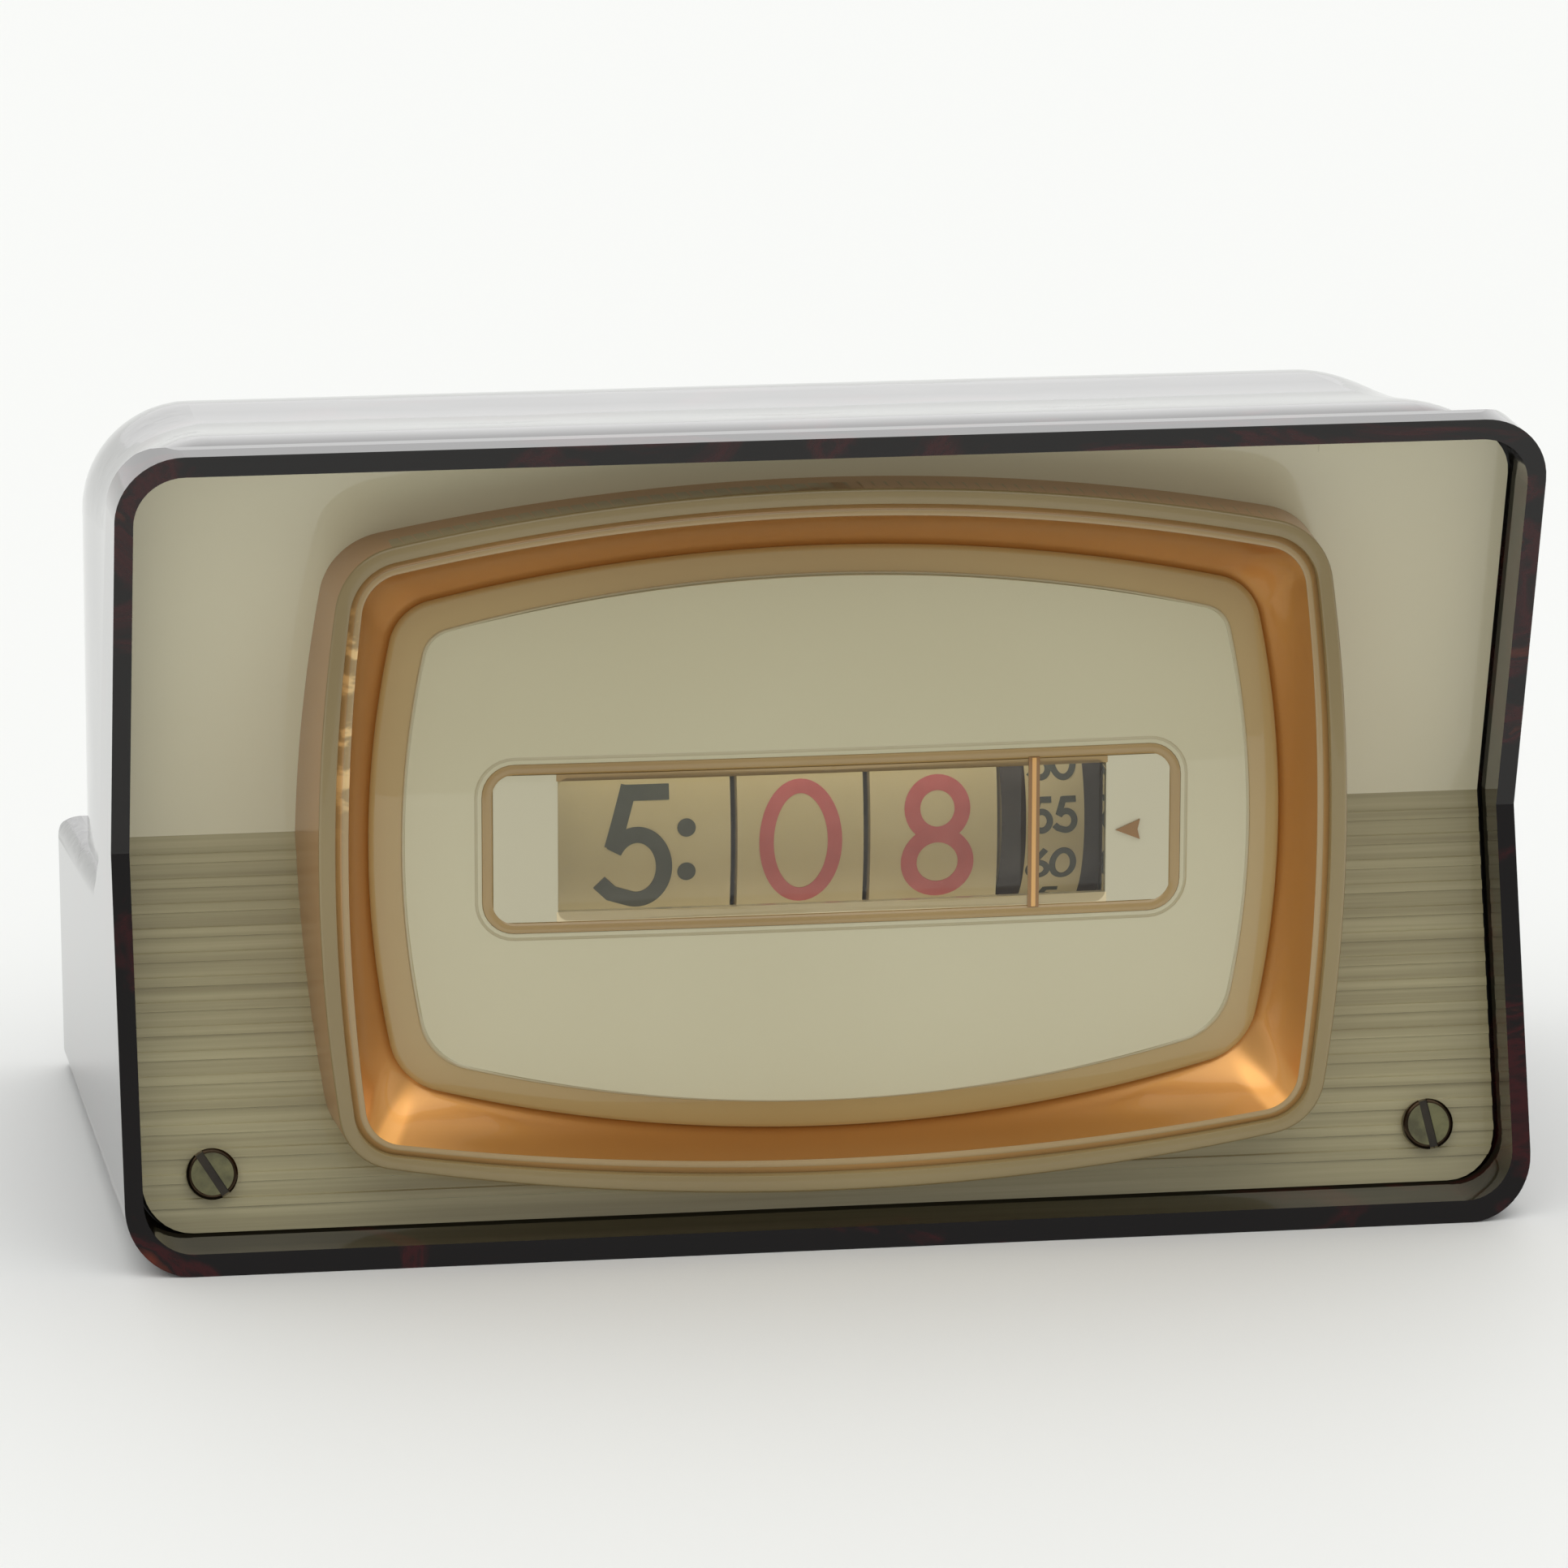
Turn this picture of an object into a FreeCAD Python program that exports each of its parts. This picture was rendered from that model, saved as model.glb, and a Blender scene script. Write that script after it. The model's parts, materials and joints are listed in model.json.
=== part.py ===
"""Drum-type number clock: moulded case, folded front lens with a dial frame, four number drums, synchronous
motor and the gear train between them.

Millimetres. The front faces -Y, +X is to the right, +Z is up. The case stands on z = 0 and the
middle of its footprint is the origin. Depths in this file are counted from the front-most plane of the
case, so y = depth - DEPTH / 2.
"""

import math
import os

import FreeCAD
import Part

Vector = FreeCAD.Vector
os.makedirs("parts", exist_ok=True)

# ---------------------------------------------------------------- driving dimensions
WIDTH = 200.0
HEIGHT = 116.2
DEPTH = 118.0
FOLD_Z = 56.6  # height of the fold of the front
FOLD_DEPTH = 17.4  # how far the fold lies behind the front-most plane
WALL = 2.5  # case wall
FLOOR = 3.8  # case floor

LENS_RECESS = 9.3  # lens panel behind the rim
LENS_THICK = 2.2
LENS_HALF = 96.8
RIB_PITCH = 3.3  # flat ribs of the lower half of the lens
RIB_WIDTH = 1.4
RIB_HEIGHT = 0.28

DIAL_DEPTH = 2.6  # front plane of the dial frame
COVE_DEPTH = 12.4  # foot of the gilded cove round the screen
SCREEN_DEPTH = 10.7  # edge of the screen in the dial frame
SCREEN_BULGE = 1.5

DRUM_R = 38.1
DRUM_AXIS = (60.1, 53.7)  # depth and height of the main drum axis
DRUM_BORE = 3.05
SHAFT_R = 3.0
HOURS_X = (-38.2, -12.1)
TENS_X = (-11.1, 6.9)
UNITS_X = (7.9, 26.1)
SECONDS_X = (26.7, 41.4)
SECONDS_R = 14.6
SECONDS_Z = 55.0

PLATE = 1.5  # sheet of the movement
LEFT_PLATE_X = -43.5
RIGHT_PLATE_X = 48.0
BASE_Z = 8.0
RUN = 0.05  # running clearance on a radius

DRUM_MODULE = 0.54
DRUM_TEETH = 80
SECONDS_PINION_TEETH = 8
SETTING_IDLER_TEETH = 43
SETTING_PINION_TEETH = 10
TRAIN_MODULE = 0.6
SECONDS_GEAR_TEETH = 24
IDLER_TEETH = 40
MOTOR_TEETH = 24
CARRY_MODULE = 0.95
RING_TEETH = 72
CARRY_TEETH = 10
LAYER_1 = (42.6, 44.2)  # drum gear, seconds pinion, setting gears
LAYER_2 = (45.4, 46.8)  # seconds gear, idler, motor pinion


# ---------------------------------------------------------------- helpers
def point(x, depth, z):
    return Vector(x, depth - DEPTH / 2, z)


def rim_depth(z):
    """Depth of the rim of the folded front at height z."""
    if z < FOLD_Z:
        return FOLD_DEPTH * z / FOLD_Z
    return FOLD_DEPTH * (HEIGHT - z) / (HEIGHT - FOLD_Z)


def arc(a, b, c):
    return Part.Arc(a, b, c).toShape()


def rounded(half, low, top, low_r, top_r, depth):
    """Rounded rectangle in a plane parallel to the front."""
    k = 1 - math.sqrt(0.5)
    low_k, top_k = low_r * k, top_r * k

    def p(x, z):
        return point(x, depth, z)

    return Part.Wire([
        Part.makeLine(p(-half + low_r, low), p(half - low_r, low)),
        arc(p(half - low_r, low), p(half - low_k, low + low_k), p(half, low + low_r)),
        Part.makeLine(p(half, low + low_r), p(half, top - top_r)),
        arc(p(half, top - top_r), p(half - top_k, top - top_k), p(half - top_r, top)),
        Part.makeLine(p(half - top_r, top), p(-half + top_r, top)),
        arc(p(-half + top_r, top), p(-half + top_k, top - top_k), p(-half, top - top_r)),
        Part.makeLine(p(-half, top - top_r), p(-half, low + low_r)),
        arc(p(-half, low + low_r), p(-half + low_k, low + low_k), p(-half + low_r, low)),
    ])


def slab(wire, length):
    return Part.Face(wire).extrude(Vector(0, length, 0))


def side_prism(points, x0, x1):
    """Prism across the object from a (depth, height) polygon."""
    loop = [point(x0, d, z) for d, z in points]
    return Part.Face(Part.makePolygon(loop + loop[:1])).extrude(Vector(x1 - x0, 0, 0))


def box(x0, x1, d0, d1, z0, z1):
    return Part.makeBox(x1 - x0, d1 - d0, z1 - z0, point(x0, d0, z0))


def rod(r, x0, x1, at):
    """Cylinder along x at (depth, height)."""
    return Part.makeCylinder(r, x1 - x0, point(x0, at[0], at[1]), Vector(1, 0, 0))


def tube(r, bore, x0, x1, at):
    return rod(r, x0, x1, at).cut(rod(bore, x0 - 1, x1 + 1, at))


def pin(r, d0, d1, x, z):
    """Cylinder from front to back."""
    return Part.makeCylinder(r, d1 - d0, point(x, d0, z), Vector(0, 1, 0))


def upright(r, z0, z1, x, depth):
    return Part.makeCylinder(r, z1 - z0, point(x, depth, z0), Vector(0, 0, 1))


def away(at, length, angle):
    """Point at a length and an angle from another, in the (depth, height) plane."""
    return (at[0] + length * math.cos(angle), at[1] + length * math.sin(angle))


def toothed(teeth, radii, widths, x0, x1, at, phase):
    """Toothed prism: radii and half widths (in tooth pitches) at root, pitch circle and tip."""
    step = 2 * math.pi / teeth
    loop = []
    for i in range(teeth):
        middle = phase + i * step
        for r, w in zip(radii, widths):
            loop.append(away(at, r, middle - w * step))
        for r, w in reversed(list(zip(radii, widths))):
            loop.append(away(at, r, middle + w * step))
    return side_prism(loop, x0, x1)


def gear(teeth, module, x0, x1, at, phase, bore):
    r = teeth * module / 2
    body = toothed(
        teeth, (r - 1.2 * module, r, r + 0.85 * module), (0.28, 0.205, 0.10), x0, x1, at, phase
    )
    if bore:
        body = body.cut(rod(bore, x0 - 1, x1 + 1, at))
    return body


def mesh_phase(phase, teeth, angle, other):
    """Phase of a gear that meshes with another one, seen from it at the given angle."""
    lag = (angle - phase) % (2 * math.pi / teeth)
    return angle + math.pi + lag * teeth / other + math.pi / other


def save(name, shape):
    shape = shape.removeSplitter() if shape.ShapeType in ("Solid", "Compound") else shape
    shape.exportStep("parts/" + name + ".step")


def union(shapes):
    first = shapes[0]
    return first.fuse(shapes[1:]) if len(shapes) > 1 else first


# ---------------------------------------------------------------- case
# Upper back: depth, half width, top height, top corner radius
STATIONS = [
    (8, 98.5, 115.0, 13),
    (12, 98.5, 114.7, 13),
    (40, 98.4, 111.7, 14),
    (70, 98.2, 108.4, 15),
    (86, 97.8, 106.7, 15.5),
    (96, 96.9, 104.4, 16),
    (104, 95.3, 101.0, 17),
    (110, 93.0, 96.5, 18),
    (115, 89.5, 90.5, 18),
    (118, 86.0, 86.0, 18),
]
CAVITY_END = 109.5
LOW_START = 30.0  # the upper back runs down inside the lower body to this height
LEDGE_FRONT = (50.0, 45.5)
LEDGE_REAR = (114.0, 38.2)


def upper_back(inset, last):
    wires = []
    for depth, half, top, r in STATIONS:
        if depth <= last:
            wires.append(rounded(half - inset, LOW_START, top - inset, 2, r - inset, depth))
    if STATIONS[-1][0] > last:
        wires.append(rounded(93.2 - inset, LOW_START, 96.9 - inset, 2, 17.9 - inset, last))
    return Part.makeLoft(wires, True, False)


behind_rim = side_prism(
    [(0, 0), (FOLD_DEPTH, FOLD_Z), (0, HEIGHT), (DEPTH + 10, HEIGHT), (DEPTH + 10, 0)], -110, 110
)
# Side outline of the front band and the lower body, which are flush with each other.
lip_edge = [(5, HEIGHT), (8, 116.0), (10.4, 115.4), (12.2, 114.4), (16.2, 106.5), (20.9, 97), (24.9, 88), (28.4, 79), (31.6, 70), (34.5, 61)]
sweep = [(36.8, 54.5), (39.6, 50.0), (43.6, 47.2), LEDGE_FRONT]
rear = [LEDGE_REAR, (116.4, 36.8), (117.7, 34.2), (DEPTH, 30), (114, 0)]
flush = side_prism([(0, 0), (FOLD_DEPTH, FOLD_Z), (0, HEIGHT)] + lip_edge + sweep + rear, -110, 110)
front_view = Part.makeLoft(
    [
        rounded(WIDTH / 2, 0, HEIGHT, 9.5, 9.5, -1),
        rounded(WIDTH / 2, 0, HEIGHT, 3.0, 9.5, DEPTH + 1),
    ],
    True,
    True,
)


def plan_wire(back, z):
    half, r = WIDTH / 2 + 0.001, 4.0
    k = r * (1 - math.sqrt(0.5))
    p = [point(-half, -5, z), point(half, -5, z), point(half, back - r, z), point(half - r, back, z)]
    q = [point(-half + r, back, z), point(-half, back - r, z)]
    return Part.Wire([
        Part.makeLine(p[0], p[1]),
        Part.makeLine(p[1], p[2]),
        arc(p[2], point(half - k, back - k, z), p[3]),
        Part.makeLine(p[3], q[0]),
        arc(q[0], point(-half + k, back - k, z), q[1]),
        Part.makeLine(q[1], p[0]),
    ])


lean = (DEPTH - 114) / 30
plan_view = Part.makeLoft([plan_wire(114 - lean, -1), plan_wire(114 + 118 * lean, 118)], True, True)
flush = flush.common(front_view).common(plan_view)


def edge_section(side, depth, top, r):
    """Corner between the side and the ledge that its rounding takes away."""
    k = r * (1 - math.sqrt(0.5))
    x = side * (WIDTH / 2 + 0.5)
    flat, curve = side * (WIDTH / 2 - r), side * (WIDTH / 2 - k)
    edge = side * WIDTH / 2
    return Part.Wire([
        Part.makeLine(point(flat, depth, top + 0.5), point(flat, depth, top)),
        arc(point(flat, depth, top), point(curve, depth, top - k), point(edge, depth, top - r)),
        Part.makeLine(point(edge, depth, top - r), point(x, depth, top - r)),
        Part.makeLine(point(x, depth, top - r), point(x, depth, top + 0.5)),
        Part.makeLine(point(x, depth, top + 0.5), point(flat, depth, top + 0.5)),
    ])


LEDGE_ROUND = 3.4
fall = (LEDGE_FRONT[1] - LEDGE_REAR[1]) / (LEDGE_REAR[0] - LEDGE_FRONT[0])
for side in (-1, 1):
    near = edge_section(side, sweep[2][0], sweep[2][1], 0.4)
    start = edge_section(side, LEDGE_FRONT[0], LEDGE_FRONT[1], LEDGE_ROUND)
    end_top = LEDGE_FRONT[1] - fall * (DEPTH + 2 - LEDGE_FRONT[0])
    end = edge_section(side, DEPTH + 2, end_top, LEDGE_ROUND)
    flush = flush.cut([Part.makeLoft([near, start], True, True), Part.makeLoft([start, end], True, True)])
outer = flush.fuse(upper_back(0, DEPTH).common(behind_rim))

back_of_lens = LENS_RECESS + LENS_THICK
opening = slab(rounded(97.4, 3.0, HEIGHT - 3.0, 7, 7, -2), 60).common(
    side_prism(
        [
            (-5, 0),
            (back_of_lens, 0),
            (FOLD_DEPTH + back_of_lens, FOLD_Z),
            (back_of_lens, HEIGHT),
            (-5, HEIGHT),
        ],
        -110,
        110,
    )
)
low_cavity = side_prism(
    [
        (rim_depth(FLOOR) + LENS_RECESS, FLOOR),
        (FOLD_DEPTH + LENS_RECESS, FOLD_Z),
        (33.0, FOLD_Z),
        (38.0, 49.0),
        (42.5, 45.0),
        (50.5, 42.6),
        (CAVITY_END, 35.6),
        (CAVITY_END, FLOOR),
    ],
    -110,
    110,
).common(slab(rounded(96.4, FLOOR, HEIGHT, 6, 6, 0), DEPTH))
up_cavity = upper_back(WALL, CAVITY_END).common(
    side_prism(
        [
            (rim_depth(LOW_START) + LENS_RECESS, LOW_START),
            (FOLD_DEPTH + LENS_RECESS, FOLD_Z),
            (LENS_RECESS, HEIGHT),
            (DEPTH, HEIGHT),
            (DEPTH, LOW_START),
        ],
        -110,
        110,
    )
)
rear_hole = slab(rounded(76, 12, 76, 8, 8, 105), 20)
rear_rabbet = slab(rounded(80, 8, 80, 10, 10, 112), 20)

case = outer.cut([opening, low_cavity, up_cavity, rear_hole, rear_rabbet])

# Screw bosses: lens, back cover, movement.
SCREW_X, SCREW_Z = 87.0, 11.1
slope = math.atan2(FOLD_DEPTH, FOLD_Z)
screw_start = point(0, rim_depth(SCREW_Z) + LENS_RECESS, SCREW_Z)
screw_dir = Vector(0, math.cos(slope), -math.sin(slope))
BACK_SCREWS = [(sx * 71.5, z) for sx in (-1, 1) for z in (16.5, 71.5)]
CHASSIS_SCREWS = [(x, d) for x in (-47.5, 53.5) for d in (40.0, 89.5)]
behind_lens = side_prism(
    [
        (back_of_lens, 0),
        (FOLD_DEPTH + back_of_lens, FOLD_Z),
        (DEPTH, FOLD_Z),
        (DEPTH, 0),
    ],
    -110,
    110,
)
for side in (-1, 1):
    x0, x1 = sorted((side * 81.5, side * 97.5))
    case = case.fuse(box(x0, x1, 10, 30, 2, 17).common(behind_lens))
for x, z in BACK_SCREWS:
    case = case.fuse(pin(5.2, 100, 112, x, z))
for x, depth in CHASSIS_SCREWS:
    case = case.fuse(upright(4.5, 2, BASE_Z, x, depth))
for side in (-1, 1):
    foot = screw_start + Vector(side * SCREW_X, 0, 0)
    case = case.cut(Part.makeCylinder(1.6, 14, foot, screw_dir))
for x, z in BACK_SCREWS:
    case = case.cut(pin(1.5, 101, 113, x, z))
for x, depth in CHASSIS_SCREWS:
    case = case.cut(upright(1.5, 1.5, BASE_Z + 1, x, depth))
save("case_shell", case)


# ---------------------------------------------------------------- front lens
BARREL_MID = 57.15
# Outlines of the dial frame from the outside to the screen: inset, half width, top, top radius,
# bottom, bottom radius, side radius, upper corner radius, lower corner radius
OUTLINES = [
    (0.0, 72.5, 108.4, 311, 7.8, 347, 255, 10.0, 8.5),
    (4.2, 68.3, 104.5, 302, 12.4, 420, 297, 6.3, 5.6),
    (8.0, 64.6, 98.6, 254, 14.7, 209, 139, 7.4, 9.2),
    (12.8, 59.9, 94.9, 226, 19.0, 199, 128, 4.5, 8.8),
]
RADII = (3, 5, 6)


def outline_at(inset):
    """Row of OUTLINES at any inset; the large radii change by their curvature."""
    k = 0
    while k < len(OUTLINES) - 2 and inset > OUTLINES[k + 1][0]:
        k += 1
    first, last = OUTLINES[k], OUTLINES[k + 1]
    t = (inset - first[0]) / (last[0] - first[0])
    row = []
    for i in range(1, 9):
        if i in RADII:
            row.append(1 / (1 / first[i] + (1 / last[i] - 1 / first[i]) * min(1, max(0, t))))
        else:
            row.append(first[i] + (last[i] - first[i]) * t)
    return row


def circles_meet(xa, za, ra, xb, zb, rb, up):
    """The crossing of two circles with x > 0 on the wanted side."""
    dx, dz = xb - xa, zb - za
    gap = math.hypot(dx, dz)
    along = (ra * ra - rb * rb + gap * gap) / (2 * gap)
    off = math.sqrt(ra * ra - along * along)
    found = []
    for sign in (-1, 1):
        x = xa + along * dx / gap - sign * off * dz / gap
        z = za + along * dz / gap + sign * off * dx / gap
        found.append((x, z))
    found = [f for f in found if f[0] > 0]
    return max(found, key=lambda f: f[1] * up)


def barrel(inset, depth, flare=0.0):
    """Outline of the dial frame, moved inwards by inset and widened at the sides by flare."""
    half, high, high_r, low, low_r, side_r, top_corner, low_corner = outline_at(inset)
    half += flare
    side_x = half - side_r
    corners = []
    for up, edge, big_r, r in ((-1, low, low_r, low_corner), (1, high, high_r, top_corner)):
        centre = (0, edge - up * big_r)
        cx, cz = circles_meet(side_x, BARREL_MID, side_r - r, centre[0], centre[1], big_r - r, up)
        a = math.atan2(cz - BARREL_MID, cx - side_x)
        b = math.atan2(cz - centre[1], cx - centre[0])
        on_side = (side_x + side_r * math.cos(a), BARREL_MID + side_r * math.sin(a))
        on_big = (centre[0] + big_r * math.cos(b), centre[1] + big_r * math.sin(b))
        m = (a + b) / 2
        corners.append((on_side, (cx + r * math.cos(m), cz + r * math.sin(m)), on_big))

    def p(q, mirror=1):
        return point(mirror * q[0], depth, q[1])

    foot, head = corners
    return Part.Wire([
        arc(p(foot[2], -1), point(0, depth, low), p(foot[2])),
        arc(p(foot[2]), p(foot[1]), p(foot[0])),
        arc(p(foot[0]), point(half, depth, BARREL_MID), p(head[0])),
        arc(p(head[0]), p(head[1]), p(head[2])),
        arc(p(head[2]), point(0, depth, high), p(head[2], -1)),
        arc(p(head[2], -1), p(head[1], -1), p(head[0], -1)),
        arc(p(head[0], -1), point(-half, depth, BARREL_MID), p(foot[0], -1)),
        arc(p(foot[0], -1), p(foot[1], -1), p(foot[2], -1)),
    ])


def stepped(inset, d0, d1):
    return slab(barrel(inset, d0), d1 - d0)


panel_line = []
rib_top = FOLD_Z - 2.4
while rib_top - RIB_WIDTH > 5.3:
    for z, lift in ((0, 0), (-0.12, 1), (0.12 - RIB_WIDTH, 1), (-RIB_WIDTH, 0)):
        z += rib_top
        panel_line.append((rim_depth(z) + LENS_RECESS - lift * RIB_HEIGHT, z))
    rib_top -= RIB_PITCH
panel = side_prism(
    [(LENS_RECESS, HEIGHT), (FOLD_DEPTH + LENS_RECESS, FOLD_Z)]
    + panel_line
    + [(LENS_RECESS, 0), (back_of_lens, 0), (FOLD_DEPTH + back_of_lens, FOLD_Z), (back_of_lens, HEIGHT)],
    -LENS_HALF,
    LENS_HALF,
).common(slab(rounded(LENS_HALF, 3.3, HEIGHT - 3.3, 7, 7, 0), 40))
smooth = side_prism(
    [
        (0, 0),
        (0, HEIGHT),
        (back_of_lens, HEIGHT),
        (FOLD_DEPTH + back_of_lens, FOLD_Z),
        (back_of_lens, 0),
    ],
    -80,
    80,
)
frame = Part.makeLoft([barrel(0, DIAL_DEPTH), barrel(0, 32, 1.1)], True, True).common(smooth)
RIDGE_DEPTH = DIAL_DEPTH + 0.6
ridge = Part.makeLoft([barrel(3.5, RIDGE_DEPTH - 0.1), barrel(2.75, 6.8)], True, True)
cove = [barrel(4.2, RIDGE_DEPTH - 0.01), barrel(5.7, 8.0), barrel(8.0, COVE_DEPTH)]
frame = frame.cut([
    stepped(2.35, 1, RIDGE_DEPTH),
    stepped(2.35, RIDGE_DEPTH - 0.05, 6.7).cut(ridge),
    Part.makeLoft(cove[:2], True, True),
    Part.makeLoft(cove[1:], True, True),
])
screen = Part.makeLoft([barrel(8.0, COVE_DEPTH), barrel(12.5, SCREEN_DEPTH)], True, True)
reach = 62.0
dome_r = (reach * reach + SCREEN_BULGE * SCREEN_BULGE) / (2 * SCREEN_BULGE)
dome = Part.makeSphere(dome_r, point(0, SCREEN_DEPTH - SCREEN_BULGE + dome_r, BARREL_MID))
dome = dome.common(stepped(12.9, SCREEN_DEPTH - 3, SCREEN_DEPTH + 0.5))
frame = frame.fuse([screen, dome])
hollow = [stepped(2.4, 13.9, 40), stepped(14.5, 12.3, 14.2)]
lens = panel.fuse(frame).cut(hollow)
for side in (-1, 1):
    foot = screw_start + Vector(side * SCREW_X, -3 * screw_dir.y, -3 * screw_dir.z)
    lens = lens.cut(Part.makeCylinder(1.8, 9, foot, screw_dir))
    lens = lens.cut(Part.makeCylinder(3.9, 3, foot, screw_dir))
# The clear pane of the window; the rest of the lens is painted on its back.
WINDOW_X = (-38.3, 39.35)
WINDOW_Z = (46.65, 67.1)
middle = (WINDOW_X[0] + WINDOW_X[1]) / 2
window = slab(rounded(WINDOW_X[1] - middle, WINDOW_Z[0], WINDOW_Z[1], 1.5, 1.5, 0), 20)
window.translate(Vector(middle, 0, 0))
save("window_pane", lens.common(window))
save("front_lens", lens.cut(window))

HEAD_R, HEAD_T = 3.6, 1.5
screws = []
for side, turn in ((-1, 32.0), (1, 4.0)):
    foot = screw_start + Vector(side * SCREW_X, 0, 0)
    head = Part.makeCylinder(HEAD_R, HEAD_T, foot - screw_dir * HEAD_T, screw_dir)
    shank = Part.makeCylinder(1.6, 12, foot, screw_dir)
    slot = Part.makeBox(1.2, 0.8, 9, Vector(-0.6, -0.4, -4.5))
    slot.rotate(Vector(0, 0, 0), Vector(0, 1, 0), turn * side * -1)
    slot.rotate(Vector(0, 0, 0), Vector(1, 0, 0), -math.degrees(slope))
    slot.translate(foot - screw_dir * HEAD_T)
    screws.append(head.fuse(shank).cut(slot))
save("lens_screws", Part.makeCompound(screws))


# ---------------------------------------------------------------- back cover
INLET = (-44.0, 21.0)
WHEEL_AXIS_D = DRUM_AXIS[0] + DRUM_MODULE / 2 * (
    DRUM_TEETH + 2 * SETTING_IDLER_TEETH + SETTING_PINION_TEETH
)
WHEEL_X = (50.2, 56.0)
WHEEL_R = 9.6
cover = slab(rounded(79.7, 8.3, 79.7, 9.7, 9.7, 112), 2.0)
for i in range(7):
    z = 34.0 + 5.0 * i
    cover = cover.cut(box(-58, 34, 113.2, 115, z, z + 1.6))
cover = cover.cut(box(WHEEL_X[0] - 0.7, WHEEL_X[1] + 0.7, 111, 115, DRUM_AXIS[1] - 10.0, DRUM_AXIS[1] + 10.0))
cover = cover.cut(box(INLET[0] - 9, INLET[0] + 9, 111, 115, INLET[1] - 5.5, INLET[1] + 5.5))
for x, z in BACK_SCREWS:
    cover = cover.cut(pin(1.7, 111, 115, x, z))
save("back_cover", cover)

heads = []
for x, z in BACK_SCREWS:
    head = pin(3.0, 114, 115.8, x, z).cut(box(x - 3.2, x + 3.2, 115.1, 116.5, z - 0.45, z + 0.45))
    heads.append(head.fuse(pin(1.5, 102, 114, x, z)))
save("back_screws", Part.makeCompound(heads))

inlet = box(INLET[0] - 9, INLET[0] + 9, 104, 114, INLET[1] - 5.5, INLET[1] + 5.5)
inlet = inlet.fuse(box(INLET[0] - 11, INLET[0] + 11, 114, 115.2, INLET[1] - 7.5, INLET[1] + 7.5))
inlet = inlet.cut(box(INLET[0] - 7, INLET[0] + 7, 106, 116, INLET[1] - 3.5, INLET[1] + 3.5))
prongs = []
for dx in (-4.0, 4.0):
    prong = pin(1.0, 101, 112.5, INLET[0] + dx, INLET[1])
    prongs.append(prong)
    inlet = inlet.cut(pin(1.0, 103, 107, INLET[0] + dx, INLET[1]))
save("power_inlet", inlet)
save("inlet_pins", Part.makeCompound(prongs))


# ---------------------------------------------------------------- axes of the movement
seconds_reach = DRUM_MODULE * (DRUM_TEETH + SECONDS_PINION_TEETH) / 2
rise = SECONDS_Z - DRUM_AXIS[1]
SECONDS_AXIS = (DRUM_AXIS[0] - math.sqrt(seconds_reach**2 - rise**2), SECONDS_Z)
to_seconds = math.atan2(SECONDS_AXIS[1] - DRUM_AXIS[1], SECONDS_AXIS[0] - DRUM_AXIS[0])
to_idler = math.radians(-59.4)
to_motor = math.radians(-20.3)
IDLER_AXIS = away(SECONDS_AXIS, TRAIN_MODULE * (SECONDS_GEAR_TEETH + IDLER_TEETH) / 2, to_idler)
MOTOR_AXIS = away(IDLER_AXIS, TRAIN_MODULE * (IDLER_TEETH + MOTOR_TEETH) / 2, to_motor)
SETTING_AXIS = (DRUM_AXIS[0] + DRUM_MODULE * (DRUM_TEETH + SETTING_IDLER_TEETH) / 2, DRUM_AXIS[1])
WHEEL_AXIS = (WHEEL_AXIS_D, DRUM_AXIS[1])
carry_angle = math.radians(-45.0)
ring_r = CARRY_MODULE * RING_TEETH / 2
carry_r = CARRY_MODULE * CARRY_TEETH / 2
CARRY_AXIS = away(DRUM_AXIS, ring_r - carry_r, carry_angle)
POSTS = [(32.0, 18.0), (32.0, 90.0), (98.0, 14.0), (96.0, 88.0)]
CORE_SCREWS = [(54.0, 44.9), (54.0, 18.7), (94.4, 46.1)]


# ---------------------------------------------------------------- frame of the movement
save("chassis_base", union([box(-52, 58, 31, 102, BASE_Z, BASE_Z + PLATE)]).cut(
    [upright(1.6, BASE_Z - 1, BASE_Z + 4, x, d) for x, d in CHASSIS_SCREWS]
    + [upright(1.2, BASE_Z - 1, BASE_Z + 4, x, 81.0) for x in (-7.5, 11.5)]
))
top_of_base = BASE_Z + PLATE
outline = [(28, top_of_base), (28, 92), (33, 97), (94, 97), (101, 91)]
left = side_prism(outline + [(101, top_of_base)], LEFT_PLATE_X, LEFT_PLATE_X + PLATE)
left = left.fuse(box(-51.5, LEFT_PLATE_X, 34, 100, top_of_base, top_of_base + PLATE))
tab = [(101, 60), (110, 59), (111.5, 57.5), (111.5, 50), (110, 48.5), (101, 47.5)]
right = side_prism(outline + tab + [(101, top_of_base)], RIGHT_PLATE_X, RIGHT_PLATE_X + PLATE)
right = right.fuse(box(RIGHT_PLATE_X, 57.5, 34, 100, top_of_base, top_of_base + PLATE))
for x, depth in CHASSIS_SCREWS:
    left = left.cut(upright(1.6, 8, 14, x, depth))
    right = right.cut(upright(1.6, 8, 14, x, depth))
left_holes = [rod(1.5, -46, -40, at) for at in POSTS] + [rod(4.5, -46, -40, DRUM_AXIS)]
holes = [(1.5, at) for at in POSTS + CORE_SCREWS] + [(4.5, DRUM_AXIS), (3.2, SECONDS_AXIS)]
holes += [(1.5, IDLER_AXIS), (1.7, MOTOR_AXIS), (1.5, SETTING_AXIS), (1.5 + RUN, WHEEL_AXIS)]
save("left_plate", left.cut(left_holes))
save("right_plate", right.cut([rod(r, 46, 52, at) for r, at in holes]))

posts = []
nuts = []


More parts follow.
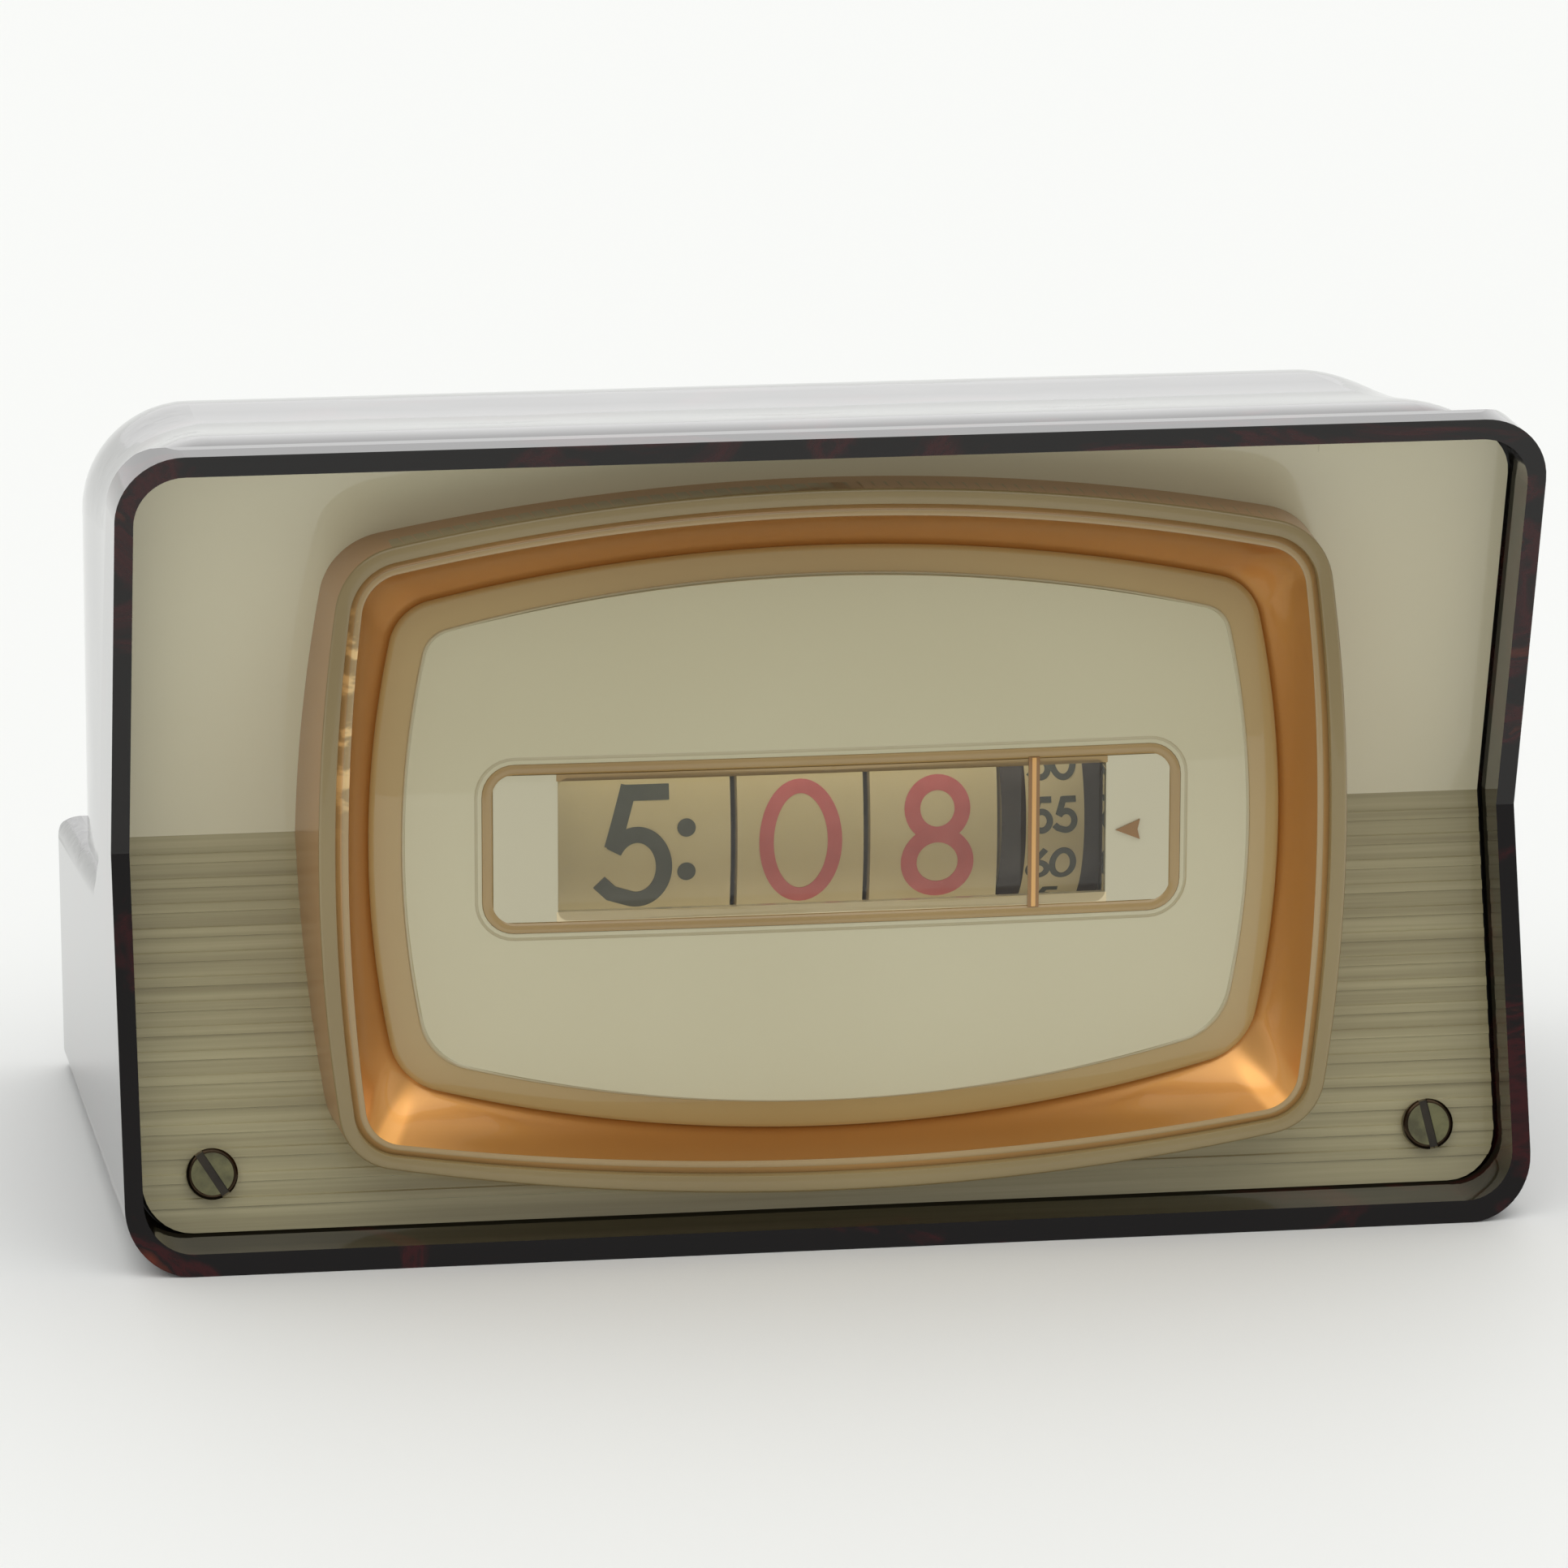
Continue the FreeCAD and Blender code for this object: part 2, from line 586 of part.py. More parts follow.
def hexagon(x0, x1, at):
    loop = [away(at, 3.2, math.radians(60 * i)) for i in range(6)]
    return side_prism(loop, x0, x1).cut(rod(1.5, x0 - 1, x1 + 1, at))


for at in POSTS:
    ends = rod(1.5, LEFT_PLATE_X - 2.8, RIGHT_PLATE_X + PLATE + 2.8, at)
    posts.append(rod(2.5, LEFT_PLATE_X + PLATE, RIGHT_PLATE_X, at).fuse(ends))
    nuts.append(hexagon(LEFT_PLATE_X - 2.4, LEFT_PLATE_X, at))
    nuts.append(hexagon(RIGHT_PLATE_X + PLATE, RIGHT_PLATE_X + PLATE + 2.4, at))
save("spacer_posts", Part.makeCompound(posts))
save("post_nuts", Part.makeCompound(nuts))

fixings = []
for x, depth in CHASSIS_SCREWS:
    head = upright(3.0, top_of_base + PLATE, top_of_base + PLATE + 2.0, x, depth)
    head = head.cut(box(x - 3.2, x + 3.2, depth - 0.4, depth + 0.4, 12.2, 14))
    fixings.append(head.fuse(upright(1.5, 2.5, top_of_base + PLATE, x, depth)))
save("chassis_screws", Part.makeCompound(fixings))

out_l, out_r = LEFT_PLATE_X, RIGHT_PLATE_X + PLATE
bushes = [
    rod(4.5, out_l, out_l + PLATE, DRUM_AXIS)
    .fuse(rod(6.0, out_l - 2, out_l, DRUM_AXIS))
    .cut(rod(SHAFT_R + RUN, -50, -40, DRUM_AXIS)),
    rod(4.5, out_r - PLATE, out_r, DRUM_AXIS)
    .fuse(rod(6.0, out_r, out_r + 2, DRUM_AXIS))
    .cut(rod(SHAFT_R + RUN, 40, 60, DRUM_AXIS)),
    rod(3.2, out_r - PLATE, out_r, SECONDS_AXIS)
    .fuse(rod(4.6, out_r, out_r + 3, SECONDS_AXIS))
    .cut(rod(0.9 + RUN, 40, 60, SECONDS_AXIS)),
]
save("shaft_bushes", Part.makeCompound(bushes))


def carrier(x, foot_x0, foot_x1, screw_x):
    """Thin plate that stands in the gap between two drums and carries a transfer pinion."""
    sheet = side_prism(
        [(72, top_of_base), (72, 33), (76, 40), (86, 40), (90, 33), (90, top_of_base)], x, x + 0.4
    )
    foot = box(foot_x0, foot_x1, 74, 88, top_of_base, top_of_base + 0.4)
    body = sheet.fuse(foot).cut(rod(1.5 + RUN, x - 1, x + 1.4, CARRY_AXIS))
    return body.cut(upright(1.2, 8, 12, screw_x, 81.0))


hours_gap = (HOURS_X[1] + TENS_X[0]) / 2 - 0.2
tens_gap = (TENS_X[1] + UNITS_X[0]) / 2 - 0.2
save("hours_carrier", carrier(hours_gap, hours_gap + 0.4, -4.0, -7.5))
save("tens_carrier", carrier(tens_gap, tens_gap + 0.4, 15.0, 11.5))
small = []
for x in (-7.5, 11.5):
    head = upright(2.2, top_of_base + 0.4, top_of_base + 1.8, x, 81.0)
    small.append(head.fuse(upright(1.2, BASE_Z - 0.5, top_of_base + 0.4, x, 81.0)))
save("carrier_screws", Part.makeCompound(small))


# ---------------------------------------------------------------- number drums
def drum(span, web_x, bore, hub):
    """Hollow number drum: rim, web with round holes, hub."""
    body = tube(DRUM_R, 35.6, span[0], span[1], DRUM_AXIS)
    web = rod(36.5, web_x, web_x + 1.6, DRUM_AXIS)
    for i in range(6):
        web = web.cut(rod(6.5, web_x - 1, web_x + 3, away(DRUM_AXIS, 21.0, math.radians(60 * i + 15))))
    body = body.fuse([web, rod(6.0, hub[0], hub[1], DRUM_AXIS)])
    return body.cut(rod(bore, hub[0] - 1, hub[1] + 1, DRUM_AXIS))


def ring(x0, x1):
    """Inner teeth of a drum."""
    gap_phase = carry_angle + math.pi / RING_TEETH
    radii = (ring_r - 0.85 * CARRY_MODULE, ring_r, 35.55)
    hollow_part = toothed(RING_TEETH, radii, (0.40, 0.295, 0.21), x0, x1, DRUM_AXIS, gap_phase)
    return rod(36.6, x0, x1, DRUM_AXIS).cut(hollow_part)


TOOTH_LEN = 3.0
hub_gap = 0.15
hours_hub = (HOURS_X[0], (HOURS_X[1] + TENS_X[0]) / 2 - hub_gap)
tens_hub = ((HOURS_X[1] + TENS_X[0]) / 2 + hub_gap, (TENS_X[1] + UNITS_X[0]) / 2 - hub_gap)
units_hub = ((TENS_X[1] + UNITS_X[0]) / 2 + hub_gap, 28.5)
hours = drum(HOURS_X, -27.0, DRUM_BORE, hours_hub).fuse(ring(HOURS_X[1] - TOOTH_LEN - 0.4, HOURS_X[1]))
tens = drum(TENS_X, -3.0, DRUM_BORE, tens_hub).fuse(ring(TENS_X[1] - TOOTH_LEN - 0.4, TENS_X[1]))
units = drum(UNITS_X, 16.0, SHAFT_R, units_hub)
save("hours_drum", hours)
save("tens_drum", tens)
save("minutes_drum", units)


def transfer_pinion(x_left, x_right):
    phase = carry_angle + math.pi / CARRY_TEETH
    left_half = gear(CARRY_TEETH, CARRY_MODULE, x_left - TOOTH_LEN, x_left, CARRY_AXIS, phase, 0)
    right_half = gear(CARRY_TEETH, CARRY_MODULE, x_right, x_right + TOOTH_LEN, CARRY_AXIS, phase, 0)
    return left_half.fuse([right_half, rod(1.5, x_left - 1, x_right + 1, CARRY_AXIS)])


save("hours_pinion", transfer_pinion(HOURS_X[1], TENS_X[0]))
save("tens_pinion", transfer_pinion(TENS_X[1], UNITS_X[0]))

save("drum_shaft", rod(SHAFT_R, -47.0, 53.0, DRUM_AXIS))
save("shaft_collar", tube(5.0, SHAFT_R, -41.5, -38.5, DRUM_AXIS))

drum_gear = gear(DRUM_TEETH, DRUM_MODULE, LAYER_1[0], LAYER_1[1], DRUM_AXIS, to_seconds, 0)
for i in range(5):
    drum_gear = drum_gear.cut(rod(4.6, 40, 46, away(DRUM_AXIS, 13.0, math.radians(72 * i))))
drum_gear = drum_gear.fuse(rod(5.5, LAYER_1[0] - 3, LAYER_1[1] + 0.8, DRUM_AXIS))
save("drum_gear", drum_gear.cut(rod(SHAFT_R, 30, 60, DRUM_AXIS)))

seconds = tube(SECONDS_R, SECONDS_R - 1.6, SECONDS_X[0], SECONDS_X[1], SECONDS_AXIS)
web = rod(SECONDS_R - 1, SECONDS_X[0], SECONDS_X[0] + 1.6, SECONDS_AXIS)
hub = rod(4.0, SECONDS_X[0], SECONDS_X[1] - 1, SECONDS_AXIS)
save("seconds_drum", seconds.fuse([web, hub]).cut(rod(1.5, 20, 45, SECONDS_AXIS)))
save("seconds_shaft", rod(1.5, SECONDS_X[0] + 0.2, 41.6, SECONDS_AXIS).fuse(
    rod(0.9, 41.6, 53.2, SECONDS_AXIS)
))
pinion_phase = mesh_phase(to_seconds, DRUM_TEETH, to_seconds, SECONDS_PINION_TEETH)
save("seconds_pinion", gear(
    SECONDS_PINION_TEETH, DRUM_MODULE, LAYER_1[0] - 0.4, LAYER_1[1] + 0.2, SECONDS_AXIS, pinion_phase, 0
).cut(rod(0.9, 40, 46, SECONDS_AXIS)))

gear_phase = to_idler
save("seconds_gear", gear(
    SECONDS_GEAR_TEETH, TRAIN_MODULE, LAYER_2[0], LAYER_2[1], SECONDS_AXIS, gear_phase, 0.9
))
idler_phase = mesh_phase(gear_phase, SECONDS_GEAR_TEETH, to_idler, IDLER_TEETH)
idler = gear(IDLER_TEETH, TRAIN_MODULE, LAYER_2[0], LAYER_2[1], IDLER_AXIS, idler_phase, 1.5 + RUN)
for i in range(5):
    idler = idler.cut(rod(2.4, 44, 48, away(IDLER_AXIS, 7.2, math.radians(72 * i))))
save("idler_gear", idler)
motor_phase = mesh_phase(idler_phase, IDLER_TEETH, to_motor, MOTOR_TEETH)
motor_gear = gear(MOTOR_TEETH, TRAIN_MODULE, LAYER_2[0], LAYER_2[1], MOTOR_AXIS, motor_phase, 0)
save("motor_pinion", motor_gear.fuse(rod(1.2, LAYER_2[0] - 0.6, 58.0, MOTOR_AXIS)))
save("idler_stud", union([
    rod(1.5, 44.6, RIGHT_PLATE_X + PLATE, IDLER_AXIS),
    rod(2.6, 44.5, 45.1, IDLER_AXIS),
    rod(2.6, LAYER_2[1] + 0.3, RIGHT_PLATE_X, IDLER_AXIS),
]))

setting_phase = mesh_phase(to_seconds, DRUM_TEETH, 0.0, SETTING_IDLER_TEETH)
setting = gear(SETTING_IDLER_TEETH, DRUM_MODULE, LAYER_1[0], LAYER_1[1], SETTING_AXIS, setting_phase, 1.5 + RUN)
for i in range(5):
    setting = setting.cut(rod(2.3, 40, 46, away(SETTING_AXIS, 6.6, math.radians(72 * i))))
save("setting_idler", setting)
save("setting_stud", union([
    rod(1.5, 41.8, RIGHT_PLATE_X + PLATE, SETTING_AXIS),
    rod(2.6, 41.6, 42.3, SETTING_AXIS),
    rod(2.6, LAYER_1[1] + 0.3, RIGHT_PLATE_X, SETTING_AXIS),
]))
wheel_phase = mesh_phase(setting_phase, SETTING_IDLER_TEETH, 0.0, SETTING_PINION_TEETH)
save("setting_pinion", gear(
    SETTING_PINION_TEETH, DRUM_MODULE, LAYER_1[0], LAYER_1[1], WHEEL_AXIS, wheel_phase, 1.5
))
save("setting_shaft", rod(1.5, 41.8, WHEEL_X[1] + 0.6, WHEEL_AXIS))
wheel = toothed(
    40, (WHEEL_R - 0.7, WHEEL_R - 0.35, WHEEL_R), (0.45, 0.32, 0.2), WHEEL_X[0], WHEEL_X[1], WHEEL_AXIS, 0
)
save("setting_wheel", wheel.cut(rod(1.5, 48, 60, WHEEL_AXIS)))


# ---------------------------------------------------------------- motor
CORE_X = (54.0, 64.0)
can = rod(12.0, out_r, 68.0, MOTOR_AXIS).fuse(rod(8.0, 68.0, 70.0, MOTOR_AXIS))
save("rotor_can", can.cut(rod(1.2 + RUN, out_r - 1, 58.5, MOTOR_AXIS)))
core = box(CORE_X[0], CORE_X[1], 50.2, 98.2, 15.0, 48.6).cut([
    rod(12.1, 50, 70, MOTOR_AXIS),
    box(50, 70, 79.5, 90.5, 20.0, 43.6),
])
core = core.cut([rod(1.6, 50, 70, at) for at in CORE_SCREWS])
save("motor_core", core)
coil = box(50.1, 67.9, 85.0, 103.7, 20.6, 43.0)
save("motor_coil", coil.cut(box(CORE_X[0], CORE_X[1], 90.5, 98.2, 10, 50)))
save("motor_spacers", Part.makeCompound([tube(3.0, 1.6, out_r, CORE_X[0], at) for at in CORE_SCREWS]))
bolts = []
for at in CORE_SCREWS:
    head = rod(2.8, CORE_X[1], CORE_X[1] + 2, at)
    head = head.cut(box(CORE_X[1] + 1.2, 70, at[0] - 3, at[0] + 3, at[1] - 0.4, at[1] + 0.4))
    bolts.append(head.fuse(rod(1.5, RIGHT_PLATE_X - 0.3, CORE_X[1], at)))
save("motor_screws", Part.makeCompound(bolts))

block = box(-78, -54, 84, 96, FLOOR, 14.0)
clamps = []
for i in range(3):
    x = -74.0 + 8.0 * i
    block = block.cut(upright(2.4, 10.0, 15, x, 90.0))
    block = block.cut(box(x - 2.0, x + 2.0, 83, 97, 5.5, 8.5))
    head = upright(2.2, 10.0, 13.0, x, 90.0)
    clamps.append(head.cut(box(x - 2.3, x + 2.3, 89.65, 90.35, 12.2, 14)))
save("terminal_block", block)
save("terminal_screws", Part.makeCompound(clamps))
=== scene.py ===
"""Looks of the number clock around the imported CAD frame.

Adds the folded lens with its dial frame, window and screw faces, the numerals and bands on the drums, every
material, the studio and the camera. Sizes are in mm unless a line says otherwise.
"""

import json
import math

import bmesh
import bpy
from mathutils import Matrix, Vector


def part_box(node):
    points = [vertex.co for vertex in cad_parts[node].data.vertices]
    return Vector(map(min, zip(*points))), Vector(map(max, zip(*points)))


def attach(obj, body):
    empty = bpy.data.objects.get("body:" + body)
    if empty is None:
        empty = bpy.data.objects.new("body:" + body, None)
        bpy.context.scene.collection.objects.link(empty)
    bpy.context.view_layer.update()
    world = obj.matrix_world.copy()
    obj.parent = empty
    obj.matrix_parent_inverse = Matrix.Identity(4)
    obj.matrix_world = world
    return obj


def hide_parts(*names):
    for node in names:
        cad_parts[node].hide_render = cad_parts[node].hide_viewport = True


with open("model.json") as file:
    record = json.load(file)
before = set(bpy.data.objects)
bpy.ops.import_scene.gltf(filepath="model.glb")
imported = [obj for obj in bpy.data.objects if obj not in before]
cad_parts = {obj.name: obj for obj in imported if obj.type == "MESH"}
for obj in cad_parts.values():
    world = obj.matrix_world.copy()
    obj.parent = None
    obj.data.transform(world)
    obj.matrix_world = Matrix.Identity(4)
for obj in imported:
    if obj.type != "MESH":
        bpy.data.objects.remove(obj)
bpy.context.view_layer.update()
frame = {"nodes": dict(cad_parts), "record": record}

MM = 0.001
case_low, case_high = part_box("case_shell")
lens_low, lens_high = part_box("front_lens")
FRONT = case_low.y  # front-most plane of the case, in metres; depths are counted back from it
HEIGHT = (case_high.z - case_low.z) / MM
FOLD_Z, FOLD_DEPTH = 56.6, 17.4
LENS_RECESS, LENS_THICK = 9.3, 2.2
FLANGE_DEPTH, COVE_DEPTH, DIAL_BACK = 2.6, 12.4, 13.6
SCREEN_DEPTH, SCREEN_BULGE, SCREEN_REACH, SCREEN_THICK = 10.7, 1.5, 62.0, 1.6
SCREEN_RADIUS = (SCREEN_REACH**2 + SCREEN_BULGE**2) / (2 * SCREEN_BULGE)
BARREL_MID = 57.15
# Outlines of the dial frame: inset, half width, top, top radius, bottom, bottom radius, side radius,
# upper corner radius, lower corner radius.
OUTLINES = [
    (0.0, 72.5, 108.4, 311, 7.8, 347, 255, 10.0, 8.5),
    (4.2, 68.3, 104.5, 302, 12.4, 420, 297, 6.3, 5.6),
    (8.0, 64.6, 98.6, 254, 14.7, 209, 139, 7.4, 9.2),
    (12.8, 59.9, 94.9, 226, 19.0, 199, 128, 4.5, 8.8),
]
LARGE_RADII = (3, 5, 6)  # places of the top, bottom and side radius in a row


def at(x, depth, z):
    """Position of a point: across, back from the front plane, up."""
    return Vector((x * MM, FRONT + depth * MM, z * MM))


def rim_depth(z):
    """Depth of the case's folded front rim at a height."""
    if z < FOLD_Z:
        return FOLD_DEPTH * z / FOLD_Z
    return FOLD_DEPTH * (HEIGHT - z) / (HEIGHT - FOLD_Z)


def lens_depth(z):
    """Depth of the lens panel's front face at a height, between its ribs."""
    return rim_depth(z) + LENS_RECESS


# ---------------------------------------------------------------- camera
CAMERA_TARGET = at(-8.0, 0.0, 67.6)
CAMERA_AZIMUTH, CAMERA_ELEVATION, CAMERA_ROLL = -8.99, 13.78, 0.15  # degrees
CAMERA_DISTANCE = 1.250  # metres
CLIP_NEAR, CLIP_FAR = 0.05, 20  # metres
SENSOR_WIDTH, FOCAL_LENGTH = 36.0, 207.26087


def add_camera():
    """Long-lens camera, a little to the left of the front and above it."""
    azimuth, elevation = math.radians(CAMERA_AZIMUTH), math.radians(CAMERA_ELEVATION)
    roll = math.radians(CAMERA_ROLL)
    back = Vector((
        math.sin(azimuth) * math.cos(elevation),
        -math.cos(azimuth) * math.cos(elevation),
        math.sin(elevation),
    ))
    right = Vector((0, 0, 1)).cross(back).normalized()
    up = back.cross(right)
    right, up = (
        right * math.cos(roll) + up * math.sin(roll),
        up * math.cos(roll) - right * math.sin(roll),
    )
    data = bpy.data.cameras.new("camera")
    data.sensor_width = SENSOR_WIDTH
    data.lens = FOCAL_LENGTH
    data.clip_start, data.clip_end = CLIP_NEAR, CLIP_FAR
    camera = bpy.data.objects.new("camera", data)
    bpy.context.collection.objects.link(camera)
    camera.matrix_world = Matrix.Translation(CAMERA_TARGET + back * CAMERA_DISTANCE) @ Matrix((
        (right.x, up.x, back.x, 0),
        (right.y, up.y, back.y, 0),
        (right.z, up.z, back.z, 0),
        (0, 0, 0, 1),
    ))
    bpy.context.scene.camera = camera


add_camera()
bpy.context.scene.view_settings.view_transform = "Standard"


# ---------------------------------------------------------------- materials
PLASTIC_IOR = 1.5
NOISE_LOW, NOISE_HIGH = 0.3, 0.7  # most of a noise texture's values lie between these
SPECKLE_LOW, SPECKLE_HIGH = 0.35, 0.65
SPECKLE_GLOSS, SPECKLE_DULL = 0.8, 1.25  # times the roughness


def linear(rgb):
    """sRGB 0..255 to linear with alpha."""
    out = []
    for c in rgb:
        c /= 255
        out.append(c / 12.92 if c <= 0.04045 else ((c + 0.055) / 1.055) ** 2.4)
    return (*out, 1.0)


def material(name, rgb, rough=0.4, metal=0.0, coat=0.0, coat_rough=0.03, level=0.5):
    """A plain material; rgb is sRGB 0..255."""
    mat = bpy.data.materials.new(name)
    mat.use_nodes = True
    nodes = mat.node_tree.nodes
    shader = nodes["Principled BSDF"]
    shader.inputs["Base Color"].default_value = linear(rgb)
    shader.inputs["Roughness"].default_value = rough
    shader.inputs["Metallic"].default_value = metal
    shader.inputs["Coat Weight"].default_value = coat
    shader.inputs["Coat Roughness"].default_value = coat_rough
    shader.inputs["Coat IOR"].default_value = PLASTIC_IOR
    shader.inputs["IOR"].default_value = PLASTIC_IOR
    shader.inputs["Specular IOR Level"].default_value = level
    return mat


def parts_of(mat):
    """Nodes, links and shader of a material."""
    tree = mat.node_tree
    return tree.nodes, tree.links, tree.nodes["Principled BSDF"]


def noise(mat, scale, stretch=(1, 1, 1), detail=4.0, rough=0.55, distort=0.0):
    """A noise texture in object space, stretched along the axes."""
    nodes, links, _ = parts_of(mat)
    where = nodes.new("ShaderNodeTexCoord")
    mapping = nodes.new("ShaderNodeMapping")
    mapping.inputs["Scale"].default_value = stretch
    texture = nodes.new("ShaderNodeTexNoise")
    texture.inputs["Scale"].default_value = scale
    texture.inputs["Detail"].default_value = detail
    texture.inputs["Roughness"].default_value = rough
    texture.inputs["Distortion"].default_value = distort
    links.new(where.outputs["Object"], mapping.inputs["Vector"])
    links.new(mapping.outputs["Vector"], texture.inputs["Vector"])
    return texture.outputs["Fac"]


def object_axes(mat):
    """X and Z of object space, in metres."""
    nodes, links, _ = parts_of(mat)
    where = nodes.new("ShaderNodeTexCoord")
    split = nodes.new("ShaderNodeSeparateXYZ")
    links.new(where.outputs["Object"], split.inputs["Vector"])
    return split.outputs["X"], split.outputs["Z"]


def math_node(mat, operation, first, second=None, number=None):
    """Output of a maths node on one or two sockets, or on a socket and a number."""
    nodes, links, _ = parts_of(mat)
    node = nodes.new("ShaderNodeMath")
    node.operation = operation
    links.new(first, node.inputs[0])
    if second is not None:
        links.new(second, node.inputs[1])
    if number is not None:
        node.inputs[1].default_value = number
    return node.outputs["Value"]


def map_range(tree, source, start, end, low=0.0, high=1.0, smooth=False):
    """Output that goes from low to high while the source goes from start to end."""
    node = tree.nodes.new("ShaderNodeMapRange")
    if smooth:
        node.interpolation_type = "SMOOTHSTEP"
    node.inputs["From Min"].default_value = start
    node.inputs["From Max"].default_value = end
    node.inputs["To Min"].default_value = low
    node.inputs["To Max"].default_value = high
    tree.links.new(source, node.inputs["Value"])
    return node.outputs["Result"]


def mask_product(mat, fields):
    """Product of smooth steps; each field is (source, where it is 0, where it is 1)."""
    product = None
    for source, start, end in fields:
        step = map_range(mat.node_tree, source, start, end, smooth=True)
        product = step if product is None else math_node(mat, "MULTIPLY", product, step)
    return product


def mm_step(source, start, end):
    """A field of mask_product whose ends are lengths in mm."""
    return (source, start * MM, end * MM)


def ramp(mat, source, stops):
    """Colour that follows the source through (place, sRGB) stops."""
    nodes, links, _ = parts_of(mat)
    node = nodes.new("ShaderNodeValToRGB")
    while len(node.color_ramp.elements) < len(stops):
        node.color_ramp.elements.new(0.5)
    for element, (place, rgb) in zip(node.color_ramp.elements, stops):
        element.position = place
        element.color = linear(rgb)
    links.new(source, node.inputs["Fac"])
    return node.outputs["Color"]


def colour_from(mat, source, stops):
    """Base colour from (place, sRGB) stops along the source."""
    _, links, shader = parts_of(mat)
    links.new(ramp(mat, source, stops), shader.inputs["Base Color"])


def rough_from(mat, source, low, high):
    """Roughness that goes from low to high with a noise."""
    _, links, shader = parts_of(mat)
    roughness = map_range(mat.node_tree, source, NOISE_LOW, NOISE_HIGH, low, high)
    links.new(roughness, shader.inputs["Roughness"])


def emission_from(mat, source, low, high):
    """Emission strength that goes from low to high with a source of 0 to 1."""
    _, links, shader = parts_of(mat)
    strength = map_range(mat.node_tree, source, 0.0, 1.0, low, high)
    links.new(strength, shader.inputs["Emission Strength"])


def bump_from(mat, source, strength, depth=0.0001):
    """Fine relief; depth is in metres."""
    nodes, links, shader = parts_of(mat)
    node = nodes.new("ShaderNodeBump")
    node.inputs["Strength"].default_value = strength
    node.inputs["Distance"].default_value = depth
    links.new(source, node.inputs["Height"])
    links.new(node.outputs["Normal"], shader.inputs["Normal"])


def speckled(name, rgb, other, scale, rough=0.4, metal=0.0, stretch=(1, 1, 1), bump=0.0):
    """A material whose colour and gloss wander a little between two tones."""
    mat = material(name, rgb, rough, metal)
    field = noise(mat, scale, stretch)
    colour_from(mat, field, [(SPECKLE_LOW, rgb), (SPECKLE_HIGH, other)])
    rough_from(mat, field, rough * SPECKLE_GLOSS, rough * SPECKLE_DULL)
    if bump:
        bump_from(mat, field, bump)
    return mat


def tortoise():
    """Dark plastic with a faint red and brown marbling that is stronger toward the right end."""
    right_bias = 0.045
    mat = material("marbled_case", (36, 20, 18), 0.07, coat=0.36, coat_rough=0.02, level=0.26)
    veins = noise(mat, 24, (1.0, 1.4, 1.6), detail=5.0, rough=0.6, distort=1.4)
    x, _ = object_axes(mat)
    toward_right = mask_product(mat, [mm_step(x, 55, 100)])
    field = math_node(mat, "ADD", veins, math_node(mat, "MULTIPLY", toward_right, number=right_bias))
    colour_from(mat, field, [
        (0.30, (14, 11, 10)),
        (0.55, (16, 11, 10)),
        (0.61, (58, 13, 16)),
        (0.65, (22, 12, 12)),
        (0.75, (100, 42, 26)),
        (0.82, (38, 17, 14)),
    ])
    fine = noise(mat, 700, detail=2.0)
    bump_from(mat, fine, strength=0.06, depth=0.00002)
    return mat


def lens_paint(name, light, dark, painted_rib_reflections=False, glow=0.1, rough=0.35, metal=0.0, coat=1.0):
    """Cream paint behind clear plastic that lets some light through: cloudy, with a glossy surface. The
    glow is painted light, an emission that stands in for that light and lifts the paint's shaded parts.
    """
    mat = material(name, light, rough, metal, coat=coat, coat_rough=0.015)
    _, links, shader = parts_of(mat)
    # Horizontal streaking in the lower half: painted reflections of its ribs.
    if painted_rib_reflections:
        field = noise(mat, 60, (0.12, 1, 11), detail=5.0, rough=0.6)
    else:
        field = noise(mat, 14, detail=2.0)
    tone = ramp(mat, field, [(NOISE_LOW, dark), (NOISE_HIGH, light)])
    links.new(tone, shader.inputs["Base Color"])
    links.new(tone, shader.inputs["Emission Color"])
    shader.inputs["Emission Strength"].default_value = glow
    return mat


def foot_glow(mat, top_glow, low_glow):
    """Painted light: emission that grows toward the paint's foot, standing in for the extra light that
    comes through there.
    """
    _, z = object_axes(mat)
    emission_from(mat, mask_product(mat, [mm_step(z, 96, 24)]), top_glow, low_glow)


def painted_corner_highlight(mat, low, broad, narrow):
    """Painted highlight: emission that makes a gilded band brighter at its two lower corners, most of all
    along the mitre.
    """
    mitre_sum = 81  # half width plus height of the points on the mitre
    x, z = object_axes(mat)
    side = math_node(mat, "ABSOLUTE", x)
    corner = mask_product(mat, [mm_step(side, 50, 66), mm_step(z, 34, 15)])
    across = math_node(mat, "ADD", side, z)
    offset = math_node(mat, "SUBTRACT", across, number=mitre_sum * MM)
    from_mitre = math_node(mat, "ABSOLUTE", offset)
    mitre = mask_product(mat, [
        mm_step(from_mitre, 3.2, 0.2),
        mm_step(side, 57, 61),
        mm_step(z, 27, 20),
    ])
    both = math_node(mat, "ADD", math_node(mat, "MULTIPLY", corner, number=broad / narrow), mitre)
    emission_from(mat, both, low, low + narrow)


def painted_side_glints(mat, low, high):
    """Painted highlight: broken bright glints, as emission, along the left side of the gold line."""
    x, z = object_axes(mat)
    grain = noise(mat, 420, (0.5, 0.5, 1.0), detail=3.0)
    fields = [mm_step(x, -60, -67), mm_step(z, 58, 72), mm_step(z, 98, 90), (grain, 0.48, 0.62)]
    emission_from(mat, mask_product(mat, fields), low, high)


